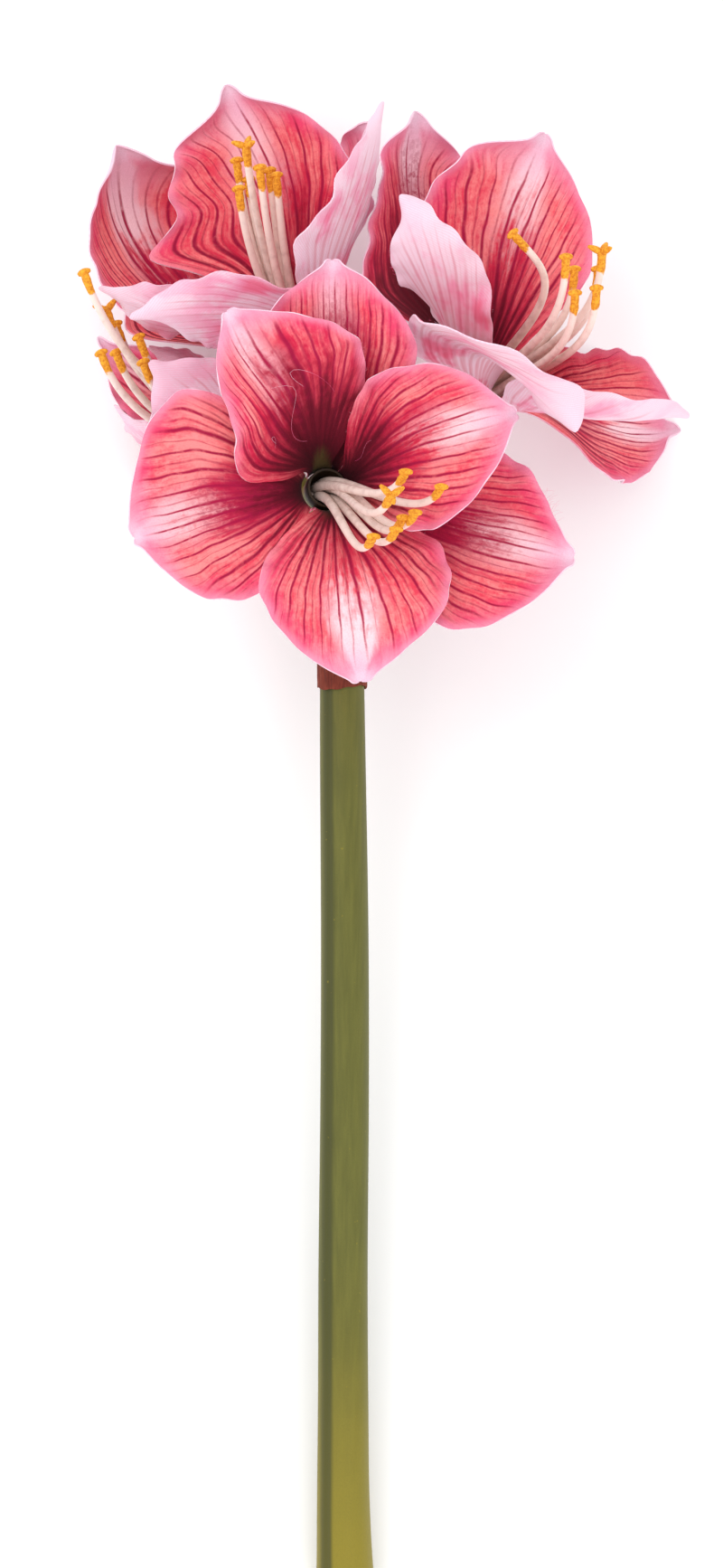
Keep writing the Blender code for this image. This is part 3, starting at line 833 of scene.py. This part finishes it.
def thread_finish(look):
    """Loose polyester fibre."""
    f = Finish("fibre")
    f.ground(f.cloud(60.0, 2.0) * 2.0 + 0.5, look.white, look.rose)
    return f.surface(Roughness=0.6, Specular_IOR_Level=0.3)


def filament_finish(look):
    """Ivory stalks whose ends are dipped in gold."""
    f = Finish("filament_ivory")
    mottle = f.cloud(260.0)
    grains = f.cloud(900.0, 2.0, 0.7)
    dip = f.attribute("dip")
    edge = look.dip / METRES
    gold = (dip + mottle * 7.0).between(edge + 0.6, edge - 0.6)
    f.ground(mottle * 2.0 + dip / 130.0, look.ivory, look.ivory_shade, 0.1, 0.9)
    f.coat(gold, f.mix((grains * 2.0 + 0.5).between(0.1, 0.9), look.gold, look.amber))
    return f.surface(
        Roughness=0.42 + gold * 0.3 + mottle * 0.1,
        Specular_IOR_Level=0.4,
        Normal=f.bump(grains * gold * 1.6 + mottle * 0.3, 0.0004, 0.6),
    )


def scape_finish(look):
    """Olive skin with lengthwise streaks that turns yellow towards the cut end, with painted shade along its
    groove and inside the cups.
    """
    f = Finish("scape_green")
    below = f.attribute("below")
    streaks = f.cloud(420.0, 3.0, 0.6, stretch=0.035)
    clouds = f.cloud(26.0)
    grain = f.cloud(1300.0, 2.0, 0.6)
    f.ground(streaks * 1.6 + clouds * 0.8 + 0.5, look.olive, look.olive_light)
    f.coat((below + clouds * 40.0).between(240.0, 410.0), look.straw)
    # Painted shade: a dark band along the groove at the front of the scape
    band = (abs(f.attribute("turn") + 0.66) + streaks * 0.1).between(0.32, 0.12)
    f.coat(band * 0.8, look.olive_grain_and_groove_shade)
    f.coat(f.cloud(520.0, 1.0).between(0.26, 0.3) * 0.5, look.straw)
    # Painted shade inside the cups
    f.coat(below.between(-30.0, -90.0) * 0.85, look.cup_shade)
    f.coat((grain * 1.5 + 0.3).between(0.0, 1.0) * 0.14, look.olive_grain_and_groove_shade)
    return f.surface(
        Roughness=0.52 + streaks * 0.16 + grain * 0.1,
        Specular_IOR_Level=0.35,
        Normal=f.bump(streaks * 0.5 + grain * 0.35 - band * 0.6, 0.0004, 0.35),
    )


def spathe_finish(look):
    """Papery reddish brown with lengthwise fibres, and darker brown painted as shade in the low parts of its
    relief.
    """
    f = Finish("spathe_brown")
    fibres = f.cloud(900.0, 4.0, 0.65, stretch=0.12)
    clouds = f.cloud(120.0)
    # Painted shade: darker brown where the relief is low
    f.ground(fibres * 1.8 + clouds * 1.2 + 0.5, look.brown_hollow_shade, look.brown)
    f.coat((fibres * 2.0 - 0.1).between(0.1, 0.6) * 0.5, look.brown_light)
    normal = f.bump(fibres + clouds * 0.6, 0.0006, 0.7)
    return f.surface(Roughness=0.78 + fibres * 0.2, Specular_IOR_Level=0.25, Normal=normal)


def colour_property(name, description, value):
    return FloatVectorProperty(
        name=name, description=description, subtype="COLOR", size=3, min=0.0, max=1.0, default=screen(*value)
    )


def length_property(name, description, value, least=0.0):
    return FloatProperty(name=name, description=description, default=value, min=least, unit="LENGTH")


class PetalLook(bpy.types.PropertyGroup):
    """Sizes and colours of the petals."""

    thickness: length_property("Thickness", "Thickness of the fabric", 0.0007, 0.0003)
    rows: IntProperty(name="Rows", description="Faces along a petal", default=64, min=16)
    columns: IntProperty(name="Columns", description="Faces across a petal", default=36, min=8)
    crease: length_property("Crease", "Depth of the midrib's crease and of the margin's ripples", 0.001)
    veins: FloatProperty(name="Veins", description="Main veins on each half of a petal", default=9.5, min=4.0)
    weave: length_property("Weave", "Pitch of the fabric's twill", 0.0009, 0.0002)
    coral: colour_property("Coral", "Main colour of the face", (228, 66, 88))
    salmon: colour_property("Salmon", "Lighter colour between the veins", (246, 138, 138))
    crimson: colour_property("Crimson", "Flush towards the throat", (194, 14, 62))
    rose: colour_property("Rose", "Pink towards the margin", (234, 74, 132))
    blush: colour_property("Blush", "Pale pink of the margin and the tip", (236, 174, 204))
    cream: colour_property("Cream", "Streak along the midrib", (250, 214, 222))
    white: colour_property("White", "Starched tip", (238, 210, 226))
    maroon: colour_property("Maroon", "Dark wedge and vein roots", (84, 8, 28))
    wine: colour_property("Wine", "Vein ends", (160, 16, 62))
    throat: colour_property("Throat", "Deepest part of the throat", (46, 8, 18))
    claw: colour_property("Claw", "Green foot of a petal", (88, 82, 40))
    shadow: colour_property("Shadow", "Between the threads of the fabric", (150, 28, 56))
    lavender: colour_property("Lavender", "Pale colour of the back", (236, 210, 224))
    back_pink: colour_property("Back pink", "Pink clouds of the back", (236, 152, 184))
    # Warm clouds of the back, and painted shade between the twill's ribs
    back_coral_and_rib_shade: colour_property("Back coral", "Warm clouds of the back", (230, 96, 126))


class GreenLook(bpy.types.PropertyGroup):
    """Colours of the scape, the pedicels, the cups and the spathe."""

    olive: colour_property("Olive", "Main green", (86, 86, 27))
    olive_light: colour_property("Light olive", "Lighter streaks", (100, 99, 36))
    # Dark grain, and painted shade along the scape's groove
    olive_grain_and_groove_shade: colour_property("Dark olive", "Dark band and grain", (60, 62, 18))
    straw: colour_property("Straw", "Yellow of the lower end", (136, 122, 28))
    # Painted shade inside the cups
    cup_shade: colour_property("Hollow", "Inside of the cups", (48, 14, 20))
    brown: colour_property("Brown", "Spathe", (136, 62, 44))
    # Painted shade in the spathe's hollows
    brown_hollow_shade: colour_property("Dark brown", "Hollows of the spathe", (96, 38, 28))
    brown_light: colour_property("Light brown", "Fibres of the spathe", (176, 92, 66))


class StamenLook(bpy.types.PropertyGroup):
    """Sizes and colours of the stamens."""

    base_radius: length_property("Base radius", "Radius of a stalk at its foot", 0.0022, 0.0005)
    tip_radius: length_property("Tip radius", "Radius of a stalk at its tip", 0.0015, 0.0005)
    dip: length_property("Dip", "Length of each stalk that is dipped in gold", 0.009)
    ivory: colour_property("Ivory", "Stalks", (240, 220, 210))
    ivory_shade: colour_property("Ivory shade", "Stalks towards the foot", (214, 190, 180))
    gold: colour_property("Gold", "Pollen", (246, 176, 44))
    amber: colour_property("Amber", "Between the grains of pollen", (206, 122, 20))


class StageLook(bpy.types.PropertyGroup):
    """Floor and light."""

    floor: colour_property("Floor", "Pale floor", (251, 251, 251))
    sky: FloatProperty(name="Sky", description="Strength of the even light all round", default=1.08, min=0.0)
    key: FloatProperty(name="Key", description="Large soft light", default=15.0, min=0.0, unit="POWER")
    fill: FloatProperty(name="Fill", description="Second soft light", default=12.0, min=0.0, unit="POWER")


class AMARYLLIS_OT_petals(bpy.types.Operator):
    """Builds the fabric petals of all four blooms."""

    bl_idname = "amaryllis.petals"
    bl_label = "Petals"

    def execute(self, context):
        look = context.scene.amaryllis_petals
        materials = (petal_face(look), petal_back(look))
        number = 0
        for bloom in BLOOMS:
            for name, petal in bloom.petals.items():
                number += 1
                self.petal(bloom, name, petal, number, look, materials)
        return {"FINISHED"}

    def petal(self, bloom, name, petal, number, look, materials):
        rows = look.rows
        columns = look.columns
        u = np.linspace(-1, 1, columns + 1)
        v = towards_end(rows + 1)
        half = look.thickness / METRES / 2
        middle, width, length = petal_middle(bloom, petal, u, v, look.crease / METRES)
        middle = press(middle, half)
        normals = unit(np.cross(np.gradient(middle, axis=0), np.gradient(middle, axis=1)) + 1e-12)
        front = press(middle + normals * half, 0)
        back = press(middle - normals * half, 0)

        size = (rows + 1) * (columns + 1)
        face_grid = grid_faces(rows, columns, 0, True)
        faces = face_grid + grid_faces(rows, columns, size, False)
        rim = list(range(columns))
        rim += [row * (columns + 1) + columns for row in range(rows)]
        rim += [rows * (columns + 1) + column for column in range(columns, 0, -1)]
        rim += [row * (columns + 1) for row in range(rows, 0, -1)]
        faces += [(a, b, b + size, a + size) for a, b in zip(rim, rim[1:] + rim[:1])]

        v = v[:, None]
        fan = smooth_through(OUTER_FAN if petal.outer else INNER_FAN, v)
        values = {
            "across": u,
            "along": v,
            "vein": u * smooth_through(OUTLINE, v) / fan,
            "spread": (petal.left + petal.right) / 2 * fan,
            "margin": (1 - np.abs(u)) * width,
            "side": u * width,
            "run": v * length,
            "petal": number * 3.7,
            "outer": float(petal.outer),
        }
        # Dye of the petal, with painted shade in the wedge's reach and lean on some petals
        values.update(zip(("reach", "lean", "bleach", "foot"), DYES_AND_SHADE.get((bloom.name, name), PLAIN_DYE)))
        both = {key: np.tile(np.broadcast_to(value, width.shape).ravel(), 2) for key, value in values.items()}
        body = Body()
        body.add(np.concatenate([front.reshape(-1, 3), back.reshape(-1, 3)]), faces, **both)
        node = "petal_" + bloom.name + "_" + name
        add_piece(node + "_fabric", body, materials, [node], second=len(face_grid))


class AMARYLLIS_OT_stamens(bpy.types.Operator):
    """Builds each bloom's six stamens and pistil."""

    bl_idname = "amaryllis.stamens"
    bl_label = "Stamens and pistils"

    def execute(self, context):
        look = context.scene.amaryllis_stamens
        material = filament_finish(look)
        for bloom in BLOOMS:
            self.spray(bloom, look, material)
        return {"FINISHED"}

    def spray(self, bloom, look, material):
        throat, axis, right, up = bloom_frame(bloom)
        body = Body()
        around = spokes(full_turn(24), right, up)
        boss = [throat + axis * along + around * BOSS_RADIUS for along in (BOSS_BOTTOM, BOSS_TOP)]
        body.tube(boss, dip=(UNDIPPED, UNDIPPED))

        def stalk(start, tip, radii, knee=None):
            reach = np.linalg.norm(tip - start)
            controls = [start, start + axis * reach * 0.4, tip - unit(bloom.finish) * reach * 0.35, tip]
            if knee:
                controls[2:3] = [np.array(knee[0]), tip - unit(knee[1]) * reach * 0.2]
            shares = towards_end(37)
            widths = radii[0] + (radii[1] - radii[0]) * shares
            away = (1 - shares) * reach
            widths = widths + 0.3 * ramp(away, 9.0, 6.0) * (1 + 0.5 * np.sin(away * 2.1 + start[0] + tip[0]))
            rings, length = tube_rings(controls, right, shares, widths, 14)
            body.tube(rings, dip=(1 - shares) * length)
            return unit(tip - controls[-2])

        def bud(start, end, bulge, sag):
            shares = np.linspace(0, 1, 13)
            widths = BUD_RADIUS * (0.25 + 0.75 * np.sin(pi * np.clip(shares * 0.92 + 0.04, 0, 1)) ** 0.5)
            widths = widths * (1 + bulge * (shares - 0.5))
            rings = tube_rings([start, (start + end) / 2 + sag, end], axis, shares, widths, 12)[0]
            body.tube(rings, dip=shares * 0)

        tips = np.array(bloom.filaments, float)
        away = tips - tips.mean(axis=0)
        bearings = [atan2(step @ up, step @ right) for step in away]
        order = np.argsort(bearings)
        radii = (look.base_radius / METRES, look.tip_radius / METRES)
        for place, index in enumerate(order):
            turn = bearings[order[0]] + place * pi / 3
            foot = throat + axis * (BOSS_BOTTOM + 1) + FILAMENT_RING * (right * cos(turn) + up * sin(turn))
            tip = tips[index]
            ahead = stalk(foot, tip, radii, bloom.knees.get(int(index)))
            side = unit(np.cross(ahead, (0.3, 0.2, 1)))
            bud(tip - side * ANTHER_REACH * 0.8, tip + side * ANTHER_REACH * 0.8, 0.0, ahead * 0.8)
        stigma = np.array(bloom.stigma, float)
        ahead = stalk(throat + axis * (BOSS_BOTTOM + 1), stigma, (radii[1], radii[1] * 1.1))
        side = unit(np.cross(ahead, axis + np.array([0.1, 0.3, 0])))
        other = np.cross(ahead, side)
        for turn in (0.3, 0.3 + 2 * pi / 3, 0.3 + 4 * pi / 3):
            end = stigma + ahead * 2.5 + STIGMA_REACH * (side * cos(turn) + other * sin(turn))
            bud(stigma - ahead * 0.5, end, -0.5, ahead * 0.3)
        name = "stamens_" + bloom.name
        add_piece(name + "_moulded", body, [material], [name], sharp=60.0)


class AMARYLLIS_OT_scape(bpy.types.Operator):
    """Builds the scape, the pedicels and the cups."""

    bl_idname = "amaryllis.scape"
    bl_label = "Scape, pedicels and cups"

    def execute(self, context):
        green = scape_finish(context.scene.amaryllis_green)
        self.scape(green)
        for bloom in BLOOMS:
            self.pedicel(bloom, green)
            self.cup(bloom, green)
        return {"FINISHED"}

    def scape(self, green):
        below, bows, radii = np.array(STEM_STATIONS).T
        places = np.linspace(0, below[-1], 81)
        sides = 72
        turns = full_turn(sides)
        # A narrow groove runs down the front of the scape
        dent = 0.35 * np.exp(-(((np.sin(turns) + 0.62) / 0.07) ** 2)) * (np.cos(turns) > 0)
        rings = []
        for place in places[::-1]:
            bow = smooth_through(list(zip(below, bows)), place)
            radius = smooth_through(list(zip(below, radii)), place)
            radius = radius + 0.12 * np.sin(3 * turns + place * 0.02) - dent
            ring = [bow + radius * np.sin(turns), np.full(sides, -place), radius * np.cos(turns)]
            rings.append(press(np.stack(ring, axis=1), 0))
        cut = rings[0]
        centre = cut.mean(axis=0)
        ends = [
            press(centre + (cut - centre) * share + np.array([0, depth, 0]), 0)
            for share, depth in ((0.45, 0.5), (0.93, 0.0), (0.985, 0.1))
        ]
        body = Body()
        heights = np.concatenate([np.full(len(ends), places[-1]), places[::-1]])
        body.tube(ends + rings, below=heights)
        # Place round the scape, which lays the painted shade along its groove
        body.values["turn"] = [np.tile(np.sin(turns) + 3.0 * (np.cos(turns) < 0), len(heights))]
        add_piece("stem_skin", body, [green], ["stem"], sharp=50.0)

    def pedicel(self, bloom, green):
        throat, axis = bloom_frame(bloom)[:2]
        foot = throat + axis * (CUP_OUTSIDE[0][1] - SEAT_GAP)
        turn = radians(bloom.pedicel)
        start = np.array([0.3 + PEDICEL_RING * cos(turn), SEAT_GAP, PEDICEL_RING * sin(turn)])
        reach = np.linalg.norm(foot - start)
        controls = [start, start + np.array([0, 0.45 * reach, 0]), foot - axis * 0.35 * reach, foot]
        shares = np.linspace(0, 1, 21)
        rings = tube_rings(controls, np.array([1.0, 0, 0]), shares, [PEDICEL_RADIUS] * len(shares), 24)[0]
        body = Body()
        body.tube(rings, below=shares * 0, turn=np.full(len(shares), NO_GROOVE_SHADE))
        name = "pedicel_" + bloom.name
        add_piece(name + "_skin", body, [green], [name])

    def cup(self, bloom, green):
        throat, axis, right, up = bloom_frame(bloom)
        places = np.linspace(0, len(CUP_OUTSIDE) - 1, 16)
        columns = [smooth_through(list(enumerate(column)), places) for column in zip(*CUP_OUTSIDE)]
        outside = np.stack(columns, axis=1)
        profile = np.concatenate([outside, CUP_INSIDE])
        turns = full_turn(36)
        around = spokes(turns, right, up)
        ribs = 0.03 * np.cos(3 * turns)[:, None]
        rings = [
            throat + axis * along + around * radius * (1 + ribs * ramp(along, -8, -20))
            for radius, along in profile
        ]
        body = Body()
        # Painted shade inside the cup: its inside gets negative values of below
        cup_shade = np.interp(np.arange(len(profile)), [len(outside) - 5, len(outside) - 2], [0, -90])
        body.tube(rings, below=cup_shade, turn=np.full(len(cup_shade), NO_GROOVE_SHADE))
        name = "cup_" + bloom.name
        add_piece(name + "_skin", body, [green], [name])


class AMARYLLIS_OT_spathe(bpy.types.Operator):
    """Builds the papery collar round the scape's top."""

    bl_idname = "amaryllis.spathe"
    bl_label = "Spathe"

    def execute(self, context):
        brown = spathe_finish(context.scene.amaryllis_green)
        sides = 96
        turns = full_turn(sides)
        lobe = np.abs(np.cos(turns + 0.5)) ** 1.4
        levels = [(SPATHE_FOOT + (SPATHE_RIM - SPATHE_FOOT) * k / 10, 0.0) for k in range(10)]
        levels += [(SPATHE_RIM, k / 20) for k in range(21)]

        def wall(offset):
            rings = []
            for base, share in levels:
                hem = np.clip((base - SPATHE_FOOT) / 6, 0, 1)
                edge = 0.9 * np.sin(turns * 2 - 0.4) + 0.25 * np.sin(turns * 9)
                y = base + share * LOBE_RISE * lobe + (1 - hem) * edge
                pucker = 0.22 * np.sin(turns * 23 + 0.3 * base) * (0.4 + 0.6 * lobe)
                pucker = pucker * np.clip(hem + share, 0, 1)
                radius = COLLAR_RADIUS + offset + LOBE_FLARE * (share * lobe) ** 1.6 + pucker
                rings.append(np.stack([0.3 + radius * np.sin(turns), y, radius * np.cos(turns)], axis=1))
            return rings

        rings = wall(0.45) + wall(-0.25)[::-1]
        body = Body()
        body.add(np.concatenate(rings), ring_faces(len(rings), sides, closed=True))
        add_piece("spathe_paper", body, [brown], ["spathe"])
        return {"FINISHED"}


class AMARYLLIS_OT_fibres(bpy.types.Operator):
    """Adds each bloom's loose fibres: frayed margins, a tuft by one tip and threads in the front throat."""

    bl_idname = "amaryllis.fibres"
    bl_label = "Loose fibres"

    def execute(self, context):
        look = context.scene.amaryllis_petals
        thread = thread_finish(look)
        random = np.random.default_rng(FIBRE_SEED)
        for bloom in BLOOMS:
            body = Body()
            for name, petal in bloom.petals.items():
                for side in (-1, 1):
                    self.fray(body, bloom, petal, side, random.uniform(0.3, 0.95, 22), 1.2, random)
                if (bloom.name, name) in TUFTS:
                    side, low, high, count, length = TUFTS[bloom.name, name]
                    self.fray(body, bloom, petal, side, random.uniform(low, high, count), length, random)
            if bloom.name == "front":
                for name, places in THREADS:
                    self.thread(body, bloom, bloom.petals[name], places)
            add_piece("fibres_" + bloom.name, body, [thread], [], sharp=60.0)
        return {"FINISHED"}

    def strand(self, body, points, radius):
        """Thin tapering tube along a smooth curve."""
        shares = np.linspace(0, 1, 4 * len(points))
        rings = tube_rings(points, np.array([0.3, 0.2, 0.9]), shares, radius * (1 - 0.6 * shares), 3)[0]
        body.tube([press(ring, 0) for ring in rings])

    def fray(self, body, bloom, petal, side, places, length, random):
        middle = petal_middle(bloom, petal, np.array([0.97, 1.0]) * side, np.sort(places), 0)[0]
        ahead = unit(np.gradient(middle[:, 1], axis=0))
        outward = unit(middle[:, 1] - middle[:, 0])
        for start, along, away in zip(middle[:, 1], ahead, outward):
            lean = random.normal(size=3)
            turn = random.normal(size=3)
            step = length * random.uniform(0.4, 1.0)
            first = start + step * 0.5 * unit(away + 0.3 * along + 0.3 * lean)
            end = first + step * 0.5 * unit(away + 0.4 * along + 0.9 * turn)
            self.strand(body, [start - 0.3 * away, first, end], FRAY_RADIUS)

    def thread(self, body, bloom, petal, places):
        across, along, lift = np.array(places, float).T
        middle = petal_middle(bloom, petal, across, along, 0)[0]
        index = np.arange(len(across))
        axis = unit(bloom.axis)
        self.strand(body, list(middle[index, index] + lift[:, None] * axis), THREAD_RADIUS)


class AMARYLLIS_OT_stage(bpy.types.Operator):
    """Adds the floor, the lights and the camera that looks down on the stem."""

    bl_idname = "amaryllis.stage"
    bl_label = "Floor, lights and camera"

    def execute(self, context):
        look = context.scene.amaryllis_stage
        scene = context.scene
        mesh = bpy.data.meshes.new("floor")
        corners = [(x * FLOOR_REACH, y * FLOOR_REACH, 0) for x, y in ((-1, -1), (1, -1), (1, 1), (-1, 1))]
        mesh.from_pydata(corners, [], [(0, 1, 2, 3)])
        finish = Finish("floor")
        finish.colour = tuple(look.floor)
        finish.surface(Roughness=0.9, Specular_IOR_Level=0.1)
        mesh.materials.append(finish.material)
        floor = bpy.data.objects.new("floor", mesh)
        scene.collection.objects.link(floor)

        world = bpy.data.worlds.new("studio")
        world.use_nodes = True
        background = world.node_tree.nodes["Background"]
        background.inputs["Color"].default_value = (1, 1, 1, 1)
        background.inputs["Strength"].default_value = look.sky
        scene.world = world
        scene.view_settings.view_transform = "Standard"

        self.light(scene, "key", look.key, 1.4, (-1.1, 0.9, 1.9))
        self.light(scene, "fill", look.fill, 1.6, (0.8, -1.5, 1.5))

        tilt = radians(LYING_TILT)
        data = bpy.data.cameras.new("camera")
        half_height = PHOTO_SIZE[1] / 2 * MM_PER_PIXEL
        data.lens = data.sensor_width / 2 * CAMERA_DISTANCE / half_height
        data.clip_end = 50.0
        camera = bpy.data.objects.new("camera", data)
        spot = laid(np.array(AIM) + np.array([0, 0, CAMERA_DISTANCE]))
        camera.matrix_world = Matrix.Translation(tuple(spot)) @ Matrix.Rotation(tilt, 4, "X")
        scene.collection.objects.link(camera)
        scene.camera = camera
        return {"FINISHED"}

    def light(self, scene, name, power, size, place):
        """Square soft light that points at the blooms."""
        data = bpy.data.lights.new(name, "AREA")
        data.energy = power
        data.size = size
        lamp = bpy.data.objects.new(name, data)
        scene.collection.objects.link(lamp)
        away = Vector(place) - Vector(LIT_SPOT)
        lamp.matrix_world = Matrix.Translation(place) @ away.to_track_quat("Z", "Y").to_matrix().to_4x4()


class AMARYLLIS_PT_panel(bpy.types.Panel):
    """Lists the pieces of the amaryllis stem."""

    bl_idname = "AMARYLLIS_PT_panel"
    bl_label = "Amaryllis stem"
    bl_space_type = "VIEW_3D"
    bl_region_type = "UI"
    bl_category = "Amaryllis"

    def draw(self, context):
        for operator in OPERATORS:
            self.layout.operator(operator.bl_idname)


LOOKS = {
    "amaryllis_petals": PetalLook,
    "amaryllis_green": GreenLook,
    "amaryllis_stamens": StamenLook,
    "amaryllis_stage": StageLook,
}
OPERATORS = (
    AMARYLLIS_OT_scape,
    AMARYLLIS_OT_spathe,
    AMARYLLIS_OT_petals,
    AMARYLLIS_OT_stamens,
    AMARYLLIS_OT_fibres,
    AMARYLLIS_OT_stage,
)
CLASSES = (*LOOKS.values(), *OPERATORS, AMARYLLIS_PT_panel)


def register():
    for item in CLASSES:
        bpy.utils.register_class(item)
    for name, look in LOOKS.items():
        setattr(bpy.types.Scene, name, PointerProperty(type=look))


def unregister():
    for name in LOOKS:
        delattr(bpy.types.Scene, name)
    for item in reversed(CLASSES):
        bpy.utils.unregister_class(item)


def main():
    register()
    bpy.ops.amaryllis.scape()
    bpy.ops.amaryllis.spathe()
    bpy.ops.amaryllis.petals()
    bpy.ops.amaryllis.stamens()
    bpy.ops.amaryllis.fibres()
    bpy.ops.amaryllis.stage()


if __name__ == "__main__":
    main()
